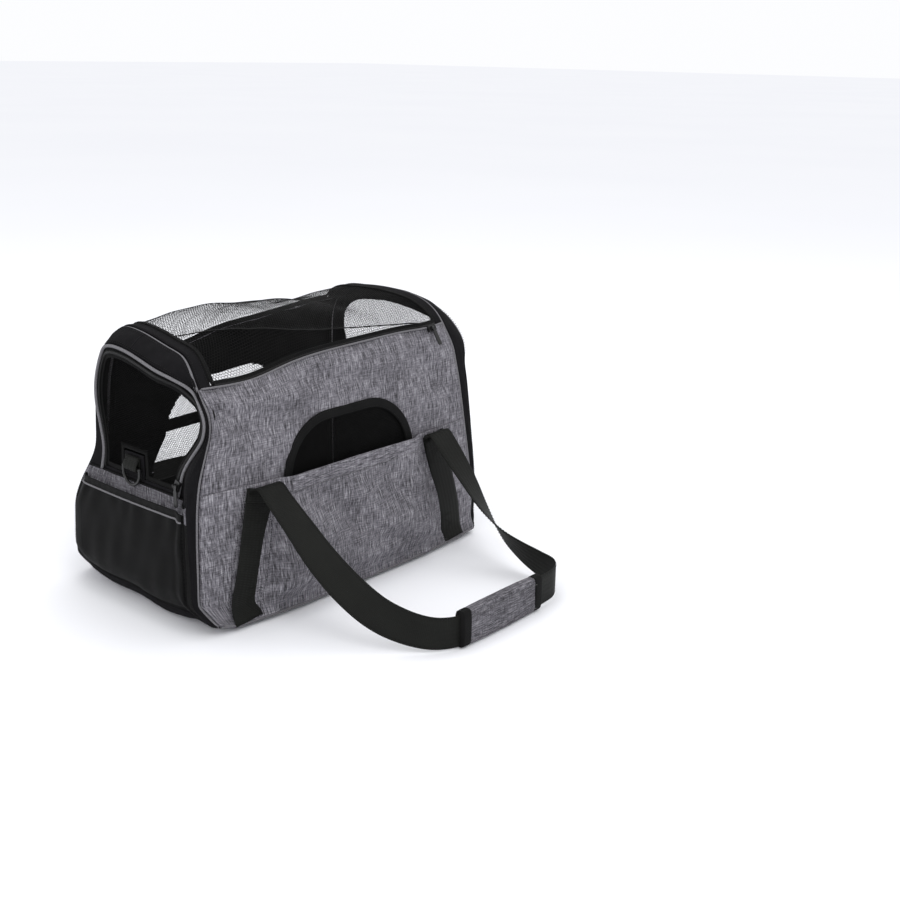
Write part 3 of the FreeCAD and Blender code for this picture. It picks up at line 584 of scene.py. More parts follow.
def piping_material():
    m = Mat("piping", rough=0.75, specular=0.15)
    twist = m.node("ShaderNodeMapping", Vector=m.uv, Rotation=(0, 0, math.radians(38))).outputs[0]
    parts = m.node("ShaderNodeSeparateXYZ", Vector=twist)
    thread = m.math("SINE", m.math("MULTIPLY", parts.outputs[0], TAU / 1.3))
    grain = m.noise(m.scaled(0.8, 0.8), detail=2.0)
    m.colour(m.ramp(m.mix((thread, 0.18), (grain, 1.0)), [(0.3, grey(0.09, 0.03)), (0.75, grey(0.24, 0.03))]))
    m.bump(thread, 0.5, 0.2)
    return m.m


def plastic_material(name, value, rough, specular=0.5):
    m = Mat(name, rough=rough, specular=specular)
    grain = m.noise(m.scaled(900, 900, 900, m.obj), detail=2.0)
    m.colour(m.ramp(grain, [(0.3, grey(value * 0.8)), (0.7, grey(value * 1.2))]))
    m.bump(grain, 0.2, 0.05)
    return m.m


HEATHER = heather("heather", 0.92)
GRIP_HEATHER = heather("grip_heather", 0.68)
BLACK = cloth("black_cloth", 0.0065, tint=0.08)
LINING = cloth("black_lining", 0.005, pitch=1.4, rough=0.8)
NET = cloth("net", 0.007, pitch=0.6, rough=0.6, bump=0.05)
DENSE_NET = cloth("pocket_net", 0.0052, pitch=0.6, rough=0.6, bump=0.05)
BINDING = cloth("binding", 0.0055, pitch=1.2, rough=0.75, bump=0.3)
ELASTIC = cloth("elastic", 0.007, pitch=1.6, rough=0.7, bump=0.45)
WEBBING = webbing_material()
PIPING = piping_material()
TAPE = cloth("zip_tape", 0.006, pitch=0.9, rough=0.7)
TEETH = plastic_material("zip_teeth", 0.008, 0.38, specular=0.25)
HARDWARE = plastic_material("black_hardware", 0.009, 0.34, specular=0.35)
RING = plastic_material("ring_enamel", 0.008, 0.3, specular=0.4)
BOARD = plastic_material("board", 0.05, 0.6)
THREAD = cloth("black_thread", 0.011, pitch=0.5, rough=0.6, bump=0.05)
GREY_THREAD = cloth("grey_thread", 0.16, pitch=0.5, rough=0.6, bump=0.05, contrast=0.2)
PAD = cloth("pad_cover", 0.012, pitch=1.6, rough=0.9, sheen=0.05)


# ---------------------------------------------------------------- front and back walls
def crease(a, b, p, q, depth, width):
    """A soft ridge (or valley) along the line from p to q, fading at its ends."""
    p, q = np.array(p, float), np.array(q, float)
    d = q - p
    t = ((a - p[0]) * d[0] + (b - p[1]) * d[1]) / (d @ d)
    away = np.hypot(a - p[0] - t * d[0], b - p[1] - t * d[1])
    ends = smooth(t, -0.1, 0.25) * (1 - smooth(t, 0.7, 1.1))
    return depth * np.exp(-(away / width) ** 2) * ends


FRONT_CREASES = [
    ((-196, 262), (-120, 214), -2.4, 13), ((-185, 225), (-128, 176), 1.8, 12),
    ((-150, 268), (-60, 238), 1.6, 14), ((120, 262), (186, 205), -1.8, 14),
    ((100, 225), (178, 178), 1.5, 12), ((-70, 262), (60, 246), -1.4, 12),
    ((-196, 120), (-186, 40), 1.8, 9), ((192, 130), (188, 40), -1.6, 9), ((30, 262), (120, 250), 1.2, 10),
]
POCKET_CREASES = [
    ((-108, 132), (-40, 60), 2.6, 13), ((-70, 140), (10, 66), -2.4, 14), ((-20, 138), (60, 58), 2.2, 15),
    ((40, 138), (104, 72), -2.0, 13), ((-120, 70), (-30, 26), 1.8, 11), ((110, 128), (70, 60), 1.8, 10),
    ((-10, 60), (110, 30), -1.6, 11),
]


def wall_wrinkles(x, z, creases, seed):
    out = 1.5 * ripple(x, z * 1.3, seed, 75) + 0.7 * ripple(x, z, seed + 1, 30)
    for p, q, depth, width in creases:
        out = out + 2.6 * crease(x, z, p, q, depth, width)
    return out


WINDOW_TOP = {FRONT: 222.0, BACK: 231.0}


def window_distance(side, x, z, inset=0.0):
    """How far inside the D-shaped window a point is."""
    half, low, high = 106.0 - inset, 50.0 + inset, WINDOW_TOP[side] - inset
    r = np.where(z > (low + high) / 2, 74.0 - inset, max(22.0 - inset, 2.0))
    mx, mz = half - r, (high - low) / 2 - r
    dx, dz = np.abs(x) - mx, np.abs(z - (low + high) / 2) - mz
    outside = np.hypot(np.maximum(dx, 0), np.maximum(dz, 0)) + np.minimum(np.maximum(dx, dz), 0) - r
    return -outside


def edge_limit(z):
    """Half-length of the wrap at a height."""
    return EDGE_X - 0.4 - EDGE_SLOPE * z


def panel_points(side, s, n, creases, seed):
    """Grid over the wrap's full length for the given arc lengths."""
    y, z = WRAP.at(s)
    u = np.linspace(-1, 1, n)
    x = edge_limit(z)[None, :] * u[:, None]
    zz = np.broadcast_to(z, x.shape)
    bulk = 1 - smooth(np.abs(u), 0.93, 1.0)[:, None]
    return wall(side, x, s, wall_wrinkles(x, zz, creases, seed) * bulk), pack(x, s), x, zz


def wall_panel(name, side, creases, seed):
    s = np.linspace(WRAP.s_at_z(BASE_SEAM_Z + 0.3), WRAP.s_at_degrees(PANEL_TOP_DEG), 92)
    p, uv, x, z = panel_points(side, s, 138, creases, seed)
    mid_x, mid_z = (x[:-1, :-1] + x[1:, 1:]) / 2, (z[:-1, :-1] + z[1:, 1:]) / 2
    keep = window_distance(side, mid_x, mid_z) < 5.5
    grid(name, p, uv, [HEATHER, LINING], keep=keep, flip=side == BACK, thick=2.2, inner=1)


def window_path(side, inset):
    """The window's outline as (x, z)."""
    half, low, high = 106.0 - inset, 50.0 + inset, WINDOW_TOP[side] - inset
    rt, rb = 74.0 - inset, max(22.0 - inset, 2.0)
    pts = []
    for cx, cz, r, a0 in ((half - rt, high - rt, rt, 0), (-half + rt, high - rt, rt, 90),
                          (-half + rb, low + rb, rb, 180), (half - rb, low + rb, rb, 270)):
        a = np.radians(a0 + np.linspace(0, 90, 24))
        pts.append(pack(cx + r * np.cos(a), cz + r * np.sin(a)))
    return resample(np.concatenate(pts), math.pi, closed=True)


S_OF_Z = (WRAP.p[:, 1], WRAP.s)


def on_wall(side, xz, off=0.0):
    xz = np.asarray(xz, float)
    return wall(side, xz[..., 0], np.interp(xz[..., 1], *S_OF_Z), off)


def wall_normals(side, xz):
    s = np.interp(np.asarray(xz)[..., 1], *S_OF_Z)
    ny, nz = (np.interp(s, WRAP.s, WRAP.n[:, i]) for i in (0, 1))
    return pack(0 * ny, side * ny, nz)


def wall_stitch(pile, side, xz, off):
    stitch(pile, on_wall(side, xz, off), wall_normals(side, xz))


def window(prefix, side):
    width = 11.4 if side == FRONT else 6.6
    mid = window_path(side, width / 2 - 0.2)
    path, nor = on_wall(side, mid, 1.15), wall_normals(side, mid)
    t, _, _ = frames(path, closed=True)
    across = np.cross(nor, t)
    sign = -1 if np.sum(np.cross(t[0], across[0]) * nor[0]) < 0 else 1
    band(f"{prefix}_window_binding", path, across, width, 1.6, BINDING, 0.5, True, sign)
    for inset in (1.6, width - 1.8):
        wall_stitch(THREADS, side, ring(window_path(side, inset)), 2.1)

    def place(x, z):
        bulge = 1.6 * smooth(window_distance(side, x, z, 8), 0, 60)
        return on_wall(side, pack(x, z), -0.9 + bulge)

    hex_net(f"{prefix}_window_net", place, lambda x, z: window_distance(side, x, z) > 5.0,
            ((-101, 101), (55, WINDOW_TOP[side] - 5)), NET, pitch=2.3, open_=0.84, depth=0.0,
            nodes=[f"{prefix}_window_mesh"])


THREADS, GREY_THREADS = Pile(), Pile()
wall_panel("front_panel", FRONT, FRONT_CREASES, 11)
wall_panel("back_panel", BACK, [((-a, b), (-c, d), 0.3 * e, f) for (a, b), (c, d), e, f in FRONT_CREASES], 23)
window("front", FRONT)
window("back", BACK)


# ---------------------------------------------------------------- front pocket, its hem and the webs
DISH_TOP, DISH_BASE = 119.0, 145.0


def dish_half(z):
    return DISH_BASE + (DISH_TOP - DISH_BASE) * np.clip((z - 15) / (POCKET_TOP_Z - 15), 0, 1)


def pocket_lift(x, z):
    """How far the pocket stands off the wall."""
    side = dish_half(z) - np.abs(x)
    full = smooth(side, 0, 20) * smooth(z - 15, 0, 26)
    slack = 1.0 - 0.16 * smooth(z, 110, 161) * (1 - smooth(np.abs(x), 30, 112))
    return 9.6 * full * slack


def front_pocket():
    s = np.linspace(WRAP.s_at_z(BASE_SEAM_Z + 0.3), WRAP.s_at_z(POCKET_TOP_Z), 60)
    y, z = WRAP.at(s)
    u = np.linspace(-1, 1, 150)
    x = (edge_limit(z) - 0.4)[None, :] * u[:, None]
    inside = smooth(dish_half(z) - np.abs(x), 0, 16)
    off = 2.2 + pocket_lift(x, z)
    off = off + wall_wrinkles(x, z, POCKET_CREASES, 31) * inside * (1 - 0.7 * smooth(z, 140, 161))
    grid("front_pocket", wall(FRONT, x, s, off), pack(x + 400, s), [HEATHER, LINING], thick=1.7,
         inner=1)
    # the folded hem along the mouth, with its two rows of stitches
    x = np.linspace(-104, 104, 90)
    zc = np.full_like(x, POCKET_TOP_Z - 9.0)
    lift = 2.2 + pocket_lift(x, zc) + 0.9
    mid = pack(x, zc)
    v, f, uv = sweep(on_wall(FRONT, mid, lift), band_outline(18.6, 2.0, 0.5) * [1, -1], False, (0, 0, 1.0))
    uv[:, 0] += 900
    build("front_pocket_hem", v, f, HEATHER, uv=uv[:, ::-1])
    for dz in (-7.6, 7.4):
        wall_stitch(GREY_THREADS, FRONT, mid + [0, dz], lift + 1.05)


def web_line(k, z):
    return k * (168.0 + (140.0 - 168.0) * (z - 14.0) / (155.0 - 14.0))


def webs(prefix, side, off):
    pile = Pile()
    for k in (-1, 1):
        z = np.linspace(14.5, 155.5, 60)
        xz = pack(web_line(k, z), z)
        path = on_wall(side, xz, off)
        across = np.cross(wall_normals(side, xz), frames(path)[0])
        v, f, uv = sweep(path, band_outline(38, 1.9), False, across)
        pile.add(v, f, uv)
        for d in (-17, 17):
            wall_stitch(THREADS, side, xz + [d, 0], off + 1.0)
        for z0, z1 in ((16, 44), (118, 148)):  # boxed crosses where the web carries the load
            corners = [(-15, z0), (15, z0), (15, z1), (-15, z1), (-15, z0), (15, z1), (-15, z1), (15, z0)]
            q = resample([(web_line(k, c[1]) + c[0], c[1]) for c in corners], 3.0)
            wall_stitch(THREADS, side, q, off + 1.05)
    pile.build(f"{prefix}_webs", WEBBING)


def back_band(name, z0, z1, off=3.5):
    """A band across the whole back; off is the middle of its thickness above the wall."""
    z = np.linspace(z0, z1, 9)
    x = np.linspace(-1, 1, 120)[:, None] * (edge_limit(z) - 1)[None, :]
    xz = pack(x, z)
    grid(name, on_wall(BACK, xz, off + 0.8), xz, WEBBING, flip=True, thick=1.6)
    for row in (1, -2):
        wall_stitch(THREADS, BACK, xz[:, row], off + 0.9)


front_pocket()
webs("front", FRONT, 3.9)
webs("back", BACK, 4.9)
back_band("back_upper_band", 161.0, 177.0)
back_band("back_lower_band", 64.0, 86.0)


# ---------------------------------------------------------------- base
def base():
    s = np.linspace(0, WRAP.s_at_z(BASE_SEAM_Z), 40)
    s = np.concatenate([-s[::-1], s[1:]])
    y, z = WRAP.at(np.abs(s))
    x = (edge_limit(z))[None, :] * np.linspace(-1, 1, 90)[:, None]
    p = soft(pack(x, np.sign(s) * y, z))
    p[..., 2] = np.maximum(p[..., 2], 0.9)
    grid("base_panel", p, pack(x, s), [HEATHER, LINING], flip=True, thick=0.8, inner=1)
    # the seam cord between the base and the walls, front and back
    for side, name in ((FRONT, "front"), (BACK, "back")):
        x = np.linspace(-203, 203, 90)
        xz = level(x, BASE_SEAM_Z + 0.6)
        tube(f"{name}_base_cord", on_wall(side, xz, 1.6), 1.5, PIPING)
        wall_stitch(GREY_THREADS, side, xz + [0, 4.0], 2.45 if side == FRONT else 0.2)


def quilted_pad():
    """The sleeping pad: a crowned cushion with a sewn grid and a bound edge."""
    lo, hi = (np.array(c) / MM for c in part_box("sleeping_pad"))
    mid, half = (lo + hi) / 2, (hi - lo) / 2
    n, m = 110, 70
    u, v = np.meshgrid(np.linspace(-1, 1, n), np.linspace(-1, 1, m), indexing="ij")
    rim = np.maximum(np.abs(u), np.abs(v))
    x, y = u * (half[0] - 3), v * (half[1] - 3)
    # round the corners
    r = 20.0
    cx, cy = np.abs(x) - (half[0] - 3 - r), np.abs(y) - (half[1] - 3 - r)
    over = (cx > 0) & (cy > 0)
    scale = np.where(over, np.minimum(1, r / np.maximum(np.hypot(cx, cy), 1e-6)), 1)
    x = np.where(over, np.sign(x) * (half[0] - 3 - r + cx * scale), x)
    y = np.where(over, np.sign(y) * (half[1] - 3 - r + cy * scale), y)
    edge = np.minimum(half[0] - np.abs(x), half[1] - np.abs(y))
    puff = np.sqrt(np.clip(1 - (1 - np.clip(edge, 0, 26) / 26) ** 2, 0, 1))
    cell = np.abs(np.sin(x / 64.0 * math.pi)) * np.abs(np.sin(y / 55.0 * math.pi))
    top = mid[2] + half[2] * (0.15 + 0.60 * puff) * (0.70 + 0.30 * cell ** 0.35)
    low = mid[2] - half[2] * (0.1 + 0.86 * puff)
    pts = np.concatenate([pack(x, y, top).reshape(-1, 3), pack(x, y, low).reshape(-1, 3)])
    f1 = grid_faces(n, m)
    f2 = f1[:, ::-1] + n * m
    loop = [i * m for i in range(n)] + [(n - 1) * m + j for j in range(1, m)]
    loop += [i * m + m - 1 for i in range(n - 2, -1, -1)] + [j for j in range(m - 2, 0, -1)]
    edge_f = [[loop[q], loop[(q + 1) % len(loop)], loop[(q + 1) % len(loop)] + n * m, loop[q] + n * m]
              for q in range(len(loop))]
    uv = np.tile(pack(x, y).reshape(-1, 2), (2, 1))
    ob = build("sleeping_pad", pts, f1.tolist() + f2.tolist() + edge_f, PAD, body="sleeping_pad", uv=uv)
    rim_path = resample(pts[loop], 6.0, closed=True)
    rim_path[:, 2] = mid[2] - half[2] * 0.02
    tube("sleeping_pad_piping", rim_path, 2.0, BINDING, closed=True, body="sleeping_pad", slot="pad")


base()
quilted_pad()


# ---------------------------------------------------------------- top: tapes, zip, flap
def lay(xs, off=0.0):
    """Points on the top from (x, arc length from the top's middle, towards the back)."""
    xs = np.asarray(xs, float)
    y, z = WRAP.at(WRAP.length - np.abs(xs[..., 1]), off)
    return soft(pack(xs[..., 0], np.sign(xs[..., 1]) * y, z))


def top():
    top_s = WRAP.s_at_degrees(PANEL_TOP_DEG) + 0.3
    track_s = WRAP.s_at_degrees(TRACK_TOP_DEG)
    flap_s = WRAP.s_at_degrees(FLAP_EDGE_DEG)
    # side tapes
    n = 120
    s = np.linspace(-(WRAP.length - top_s), WRAP.length - top_s, n)
    dist = WRAP.length - np.abs(s)
    limit = edge_limit(WRAP.at(dist)[1])
    tapes = Pile()
    for k in (-1, 1):
        x = k * (limit[None] - 13.2 * np.linspace(0, 1, 5)[:, None])
        xs = pack(x, s)
        tapes.add(lay(xs), grid_faces(5, n, flip=k > 0).tolist(), xs)
        ny, nz = (np.interp(dist, WRAP.s, WRAP.n[:, i]) for i in (0, 1))
        nor = pack(0 * s, np.sign(s) * ny, nz)
        for d in (2.2, 11.4):
            stitch(THREADS, lay(pack(k * (limit - d), s)) + nor * 0.1, nor)
    thicken(tapes.build("top_side_tapes", BLACK), 2.0)
    # tapes along the front zip and the back hinge
    for side, name in ((FRONT, "top_zip_track"), (BACK, "top_back_tape")):
        s = np.linspace(top_s, track_s, 6)
        y, z = WRAP.at(s)
        x = (edge_limit(z) - 13.6)[None, :] * np.linspace(-1, 1, 90)[:, None]
        grid(name, wall(side, x, s), pack(x, s), TAPE, flip=side == BACK, thick=1.6,
             slot="zip" if side == FRONT else "black_fabric")
    x = np.linspace(-172, 172, 300)
    s_chain = np.full_like(x, WRAP.s_at_degrees(TRACK_TOP_DEG - 1.0))
    path = wall(FRONT, x, s_chain, 0.15)
    across = wall(FRONT, x, s_chain + 1, 0.15) - path
    teeth = Pile()
    zip_teeth(teeth, path, across, reach=1.5)
    teeth.build("top_zip_teeth", TEETH)
    # grey cords and stitches along the front and back panels' top edges
    x = np.linspace(-188, 188, 120)
    for side, name, out, r in ((FRONT, "front", 1.0, 1.2), (BACK, "back", 1.3, 1.7)):
        tube(f"{name}_top_cord", wall(side, x, np.full_like(x, top_s - 0.8), out), r, PIPING)
        stitch(GREY_THREADS, wall(side, x, np.full_like(x, top_s - 5.0), 0.35), (0, side * 0.85, 0.5))
    # the flap: a bound net that lifts
    flap_x = lambda z: edge_limit(z) - 14.0
    reach = WRAP.length - flap_s
    s = np.linspace(-reach, reach, 150)
    xs = flap_x(WRAP.at(WRAP.length - np.abs(s), 0.2)[1]) - 1.6
    inner_s = reach - 1.2
    right = [(a, b) for a, b in zip(xs, s) if abs(b) <= inner_s]
    left = [(-a, b) for a, b in right]
    row = right[0][0] * np.linspace(-1, 1, 80)[1:-1]
    loop = left + [(x, inner_s) for x in row] + right[::-1] + [(-x, -inner_s) for x in row]
    loop = resample(loop, 3.5, closed=True)
    path = lay(loop, 0.2)
    up = lay(loop, 1.2) - path
    t, _, _ = frames(path, closed=True)
    across = np.cross(up, t)
    sign = np.sign(np.sum(np.cross(t, across) * up, 1).mean())
    band("top_flap_binding", path, across, 5.2, 1.5, BINDING, 0.3, True, sign, body="top_flap")
    for d in (-1.4, 1.4):
        q = path + across / np.linalg.norm(across, axis=1, keepdims=True) * d + up * 1.05
        stitch(FLAP_THREADS, ring(q), ring(up))

    def crease_s(x):
        return np.interp(x, CREASE[:, 0], CREASE[:, 1])

    def place(x, s):
        fold = 2.0 * hump(s - crease_s(x), 0, 5.0) + 1.3 * ripple(x, s, 71, 70)
        return lay(pack(x, s), -0.3 + (3.0 + fold) * smooth(176 - np.abs(x), 0, 50))

    def inside(x, s):
        zz = WRAP.at(WRAP.length - np.abs(s))[1]
        return (np.abs(x) < flap_x(zz) - 1.4) & (np.abs(s) < reach - 1.0)

    hex_net("top_net", place, inside, ((-176, 176), (-reach, reach)), NET, pitch=3.3, open_=0.88, depth=0.22,
            body="top_flap", nodes=["top_mesh"])
    # the sharp fold in the net, where it lies double
    x = np.linspace(CREASE[0, 0], CREASE[-1, 0], 160)
    line = place(x, crease_s(x))
    band("top_net_fold", line, place(x, crease_s(x) + 2.0) - line, 1.6, 0.9, NET, body="top_flap")


# the crease across the top net, as (x, arc length from the top's middle)
CREASE = np.array([(-174, -21), (-156, -34), (-130, -56), (-104, -70), (-50, -84), (12, -93), (108, -106),
                   (146, -109.5)])
FLAP_THREADS = Pile()
top()
FLAP_THREADS.build("top_flap_stitches", THREAD, body="top_flap")


# ---------------------------------------------------------------- ends
DOOR_FOOT, DOOR_SIDE = np.array([84.0, 157.0]), np.array([112.5, 232.0])
DOOR_TOP_Z, DOOR_TOP_R, DOOR_SHOULDER_R = 303.0, 300.0, 60.0
UP = (DOOR_SIDE - DOOR_FOOT) / np.linalg.norm(DOOR_SIDE - DOOR_FOOT)


def door_path(inset, foot_z=DOOR_Z):
    """(y, z) along a door's opening, moved in by inset: up the back side, over, down the front."""
    foot = DOOR_FOOT + np.array([-UP[1], UP[0]]) * inset
    crown = np.array([0.0, DOOR_TOP_Z - DOOR_TOP_R])
    r = DOOR_SHOULDER_R - inset
    start = foot + np.array([-UP[1], UP[0]]) * r - crown
    half_b = start @ UP
    t = -half_b + math.sqrt(half_b ** 2 - (start @ start - (DOOR_TOP_R - DOOR_SHOULDER_R) ** 2))
    shoulder = crown + start + t * UP
    side = foot + t * UP
    hip = crown + (shoulder - crown) / np.linalg.norm(shoulder - crown) * (DOOR_TOP_R - inset)
    low = foot + UP * (foot_z - foot[1]) / UP[1]
    a0, a1 = (math.atan2(*(p - shoulder)[::-1]) for p in (side, hip))
    b0 = math.atan2(*(hip - crown)[::-1])
    line = low + (side - low) * np.linspace(0, 1, 36)[:-1, None]
    turn = np.linspace(a0, a1, 40)[:-1]
    arc1 = shoulder + r * pack(np.cos(turn), np.sin(turn))
    over = np.linspace(b0, math.pi - b0, 90)
    arc2 = crown + (DOOR_TOP_R - inset) * pack(np.cos(over), np.sin(over))
    right = np.concatenate([line, arc1])
    return np.concatenate([right, arc2, (right * [-1, 1])[::-1]])


def door_half(z, inset):
    """Half-width of the door's opening at a height."""
    p = door_path(inset)
    p = p[: len(p) // 2]
    return np.interp(z, p[:, 1], p[:, 0], right=-1.0)


def section_loop(section, inset, tau):
    s = section.same_place(np.abs(tau))
    y, z = section.at(s, -inset)
    return np.sign(tau) * y, z


NOTCH_HALF, NOTCH_TOP = 20.5, 186.5


def by_angle(q, n):
    """The line q, resampled by direction from the middle of the door."""
    a = np.unwrap(np.arctan2(q[:, 1] - 190.0, q[:, 0]))
    want = np.linspace(a[0], a[-1], n)
    return np.stack([np.interp(want, a, q[:, i]) for i in (0, 1)], 1)


def hoop_band(name, k, out, tau):
    ring_tau = ring(tau)
    a = edge_plane(k, 3.6, *section_loop(WRAP, 0.5, ring_tau))
    b = end_plane(k, 0.0, *section_loop(ARCH, 0.2, ring_tau))
    around = lengths(a)
    away = (a - [0, 0, 160.0]) * [0, 1, 1]
    away /= np.linalg.norm(away, axis=1, keepdims=True)
    pts, uvs = [], []
    for r in np.linspace(0, 1, 12):
        arch = math.sin(r * math.pi)
        bow = 1.6 * arch * (1 + 0.5 * ripple(around, around * 0, 5 + k, 90))
        wr = 0.7 * arch * ripple(around, np.full_like(around, r * 40), 7 + k, 26)
        p = a + (b - a) * r + (away * 0.75 + out * 0.65) * (bow + wr)[:, None]
        p[-1] = p[0]
        pts.append(p)
        uvs.append(level(around, r * 35))
    grid(f"{name}_hoop_band", np.array(pts), np.array(uvs), BLACK, flip=k > 0, thick=1.8)
    for r in (0.1, 0.9):
        stitch(THREADS, a + (b - a) * r + out, out + (a - [0, 0, 160.0]) * [0, 0.01, 0.01])


def gusset(name, k):
    """The border from the end's outline to the door's opening, its foot and the ring's patch."""
    n, rows = 200, 7
    inner = by_angle(resample(door_path(0.6), 1.0), n)
    y, z = ARCH.at(np.linspace(ARCH.s_at_z(SILL_Z), ARCH.length, 140), 0.1)
    outer = by_angle(np.concatenate([pack(y, z), pack(-y, z)[::-1][1:]]), n)
    g = Pile()
    t = np.linspace(0, 1, rows)
    yz = inner[None] + (outer - inner)[None] * t[:, None, None]
    lift = 0.5 * ripple(yz[..., 0], yz[..., 1], 12, 40) * np.sin(t * math.pi)[:, None]
    g.add(end_plane(k, lift, yz[..., 0], yz[..., 1]), grid_faces(rows, n, flip=k < 0).tolist(), yz)
    for half, low, high, ny, nz in ((122, SILL_Z, DOOR_Z - 0.2, 80, 4), (18, DOOR_Z - 0.2, 184, 16, 12)):
        yy, zz = np.meshgrid(np.linspace(-half, half, ny), np.linspace(low, high, nz), indexing="ij")
        g.add(end_plane(k, 0.0, yy, zz), grid_faces(ny, nz, flip=k < 0).tolist(), pack(yy, zz))
    thicken(g.build(f"{name}_end_gusset", BLACK), 1.6)


def lower_panel(name, k, out):
    """Heather panel behind the pocket; below the pocket's mouth its faces take the black lining, as painted
    shade behind the net.
    """
    z = 12.1 + 17.0 * (1 - np.cos(np.linspace(0, math.pi / 2, 10)))
    z = np.concatenate([z, np.linspace(31.0, SILL_Z - 0.3, 44)])
    half = np.interp(z, ARCH.p[:, 1], ARCH.p[:, 0]) - 0.1
    yy = half[None] * np.linspace(-1, 1, 90)[:, None]
    puff = 0.54 * ripple(yy, z, 15, 60)
    ob = grid(f"{name}_lower_panel", end_plane(k, -0.2 + puff, yy, z), pack(yy + 700, z),
              [HEATHER, LINING], flip=k < 0, thick=1.8, inner=1)
    # faces below the pocket's mouth get the black lining material: painted shade where the pocket net shadows
    # the heather
    for poly in ob.data.polygons:
        poly.material_index = int(poly.center.z < 0.133)
    y = np.linspace(-121, 121, 90)
    tube(f"{name}_sill_cord", end_plane(k, 1.0, *level(y, SILL_Z - 0.5).T), 1.2, BINDING)
    stitch(GREY_THREADS, end_plane(k, 0.5, *level(y, SILL_Z - 5.0).T), out)


def end(name, k):
    out = np.array([k * 1.0, 0, 0])
    spans = [np.linspace(i, i + 1, n)[:-1] for i, n in enumerate((30, 10, 60, 40))]
    tau = np.concatenate([*spans, np.linspace(4, 5, 50)])
    tau = np.concatenate([-tau[::-1][:-1], tau[1:]])  # from the top's middle round by the floor
    tube(f"{name}_outer_piping", edge_plane(k, 2.0, *section_loop(WRAP, 2.4, tau)), 2.0, PIPING, True)
    tube(f"{name}_hoop_sleeve", edge_plane(k, -4.0, *section_loop(WRAP, 4.2, tau)), 3.4, LINING, True,
         nodes=[f"{name}_hoop_wire"])
    hoop_band(name, k, out, tau)
    gusset(name, k)
    lower_panel(name, k, out)
    # piping, zip tape and teeth round the door
    tube(f"{name}_inner_piping", end_plane(k, 2.0, *door_path(-2.0, SILL_Z).T), 1.8, PIPING)
    path = end_plane(k, -0.5, *door_path(2.2).T)
    band(f"{name}_door_tape", path, end_plane(k, -0.5, *door_path(3.2).T) - path, 5.6, 1.2, TAPE,
         nodes=[f"{name}_door_track"])
    path = end_plane(k, 0.25, *door_path(5.0).T)
    teeth = Pile()
    zip_teeth(teeth, path, (end_plane(k, 0.25, *door_path(6.0).T) - path) * k, height=1.5)
    teeth.build(f"{name}_door_teeth", TEETH)
    for d in (-6.0, 1.6):
        stitch(THREADS, end_plane(k, 0.2, *door_path(d).T), out)
    door(name, k, out)
    pocket(name, k, out)
    ring_tab(name, k, out)


def door(name, k, out):
    """The door: its binding, the hinge binding with a notch for the ring's patch, and its net."""
    body = f"{name}_door"
    g = Pile()
    path = end_plane(k, -0.7, *door_path(8.2, DOOR_Z + 0.8).T)
    side = end_plane(k, -0.7, *door_path(9.2, DOOR_Z + 0.8).T) - path
    g.add(*sweep(path, band_outline(6.4, 1.6, 0.3), False, side))
    w = door_half(DOOR_Z + 4, 5.6) - 3
    low, high, notch = DOOR_Z + 3.1, NOTCH_TOP + 2.7, NOTCH_HALF + 2.7
    line = np.array([(w, low), (notch, low), (notch, high), (-notch, high), (-notch, low), (-w, low)])
    for c0, c1 in zip(line[:-1], line[1:]):
        d = (c1 - c0) / np.linalg.norm(c1 - c0)
        q = resample(np.array([c0 - d * 3.0, c1 + d * 3.0]), 4.0)
        g.add(*sweep(end_plane(k, -0.75, *q.T), band_outline(5.0, 1.5, 0.2), False, (0.0, -d[1], d[0])))
    g.build(f"{name}_door_binding", BINDING, body=body)
    threads = Pile()
    for d in (6.6, 10.0):
        stitch(threads, end_plane(k, 0.25, *door_path(d, DOOR_Z + 3).T), out)
    threads.build(f"{name}_door_stitches", THREAD, body=body)

    def inside(y, z):
        clear = (np.abs(y) > NOTCH_HALF + 3.5) | (z > NOTCH_TOP + 3.5)
        return (np.abs(y) < door_half(z, 9.4)) & (z > DOOR_Z + 4.0) & (z < 293.2) & clear

    def place(y, z):
        bulge = smooth(door_half(z, 9) - np.abs(y), 0, 50) * smooth(z, 165, 205) * (1 - smooth(z, 250, 293))
        return end_plane(k, -1.0 + 2.4 * bulge + 0.5 * ripple(y, z, 17, 50), y, z)

    hex_net(f"{name}_door_net", place, inside, ((-110, 110), (160, 296)), NET, pitch=2.5, open_=0.86,
            depth=0.2, body=body, nodes=[f"{name}_door_mesh"])


def pocket_out(y, z):
    """How far the end pocket stands off the end plane."""
    sides = np.sqrt(np.clip(1 - (np.abs(y) / 114.0) ** 8, 0, 1))
    low = np.sqrt(np.clip(1 - (1 - np.clip((z - 17) / 34, 0, 1)) ** 2, 0, 1))
    slump = 1.0 + 0.12 * np.exp(-((z - 55) / 30) ** 2) - 0.20 * smooth(z, 100, 142)
    return 0.4 + 15.6 * sides * low * slump


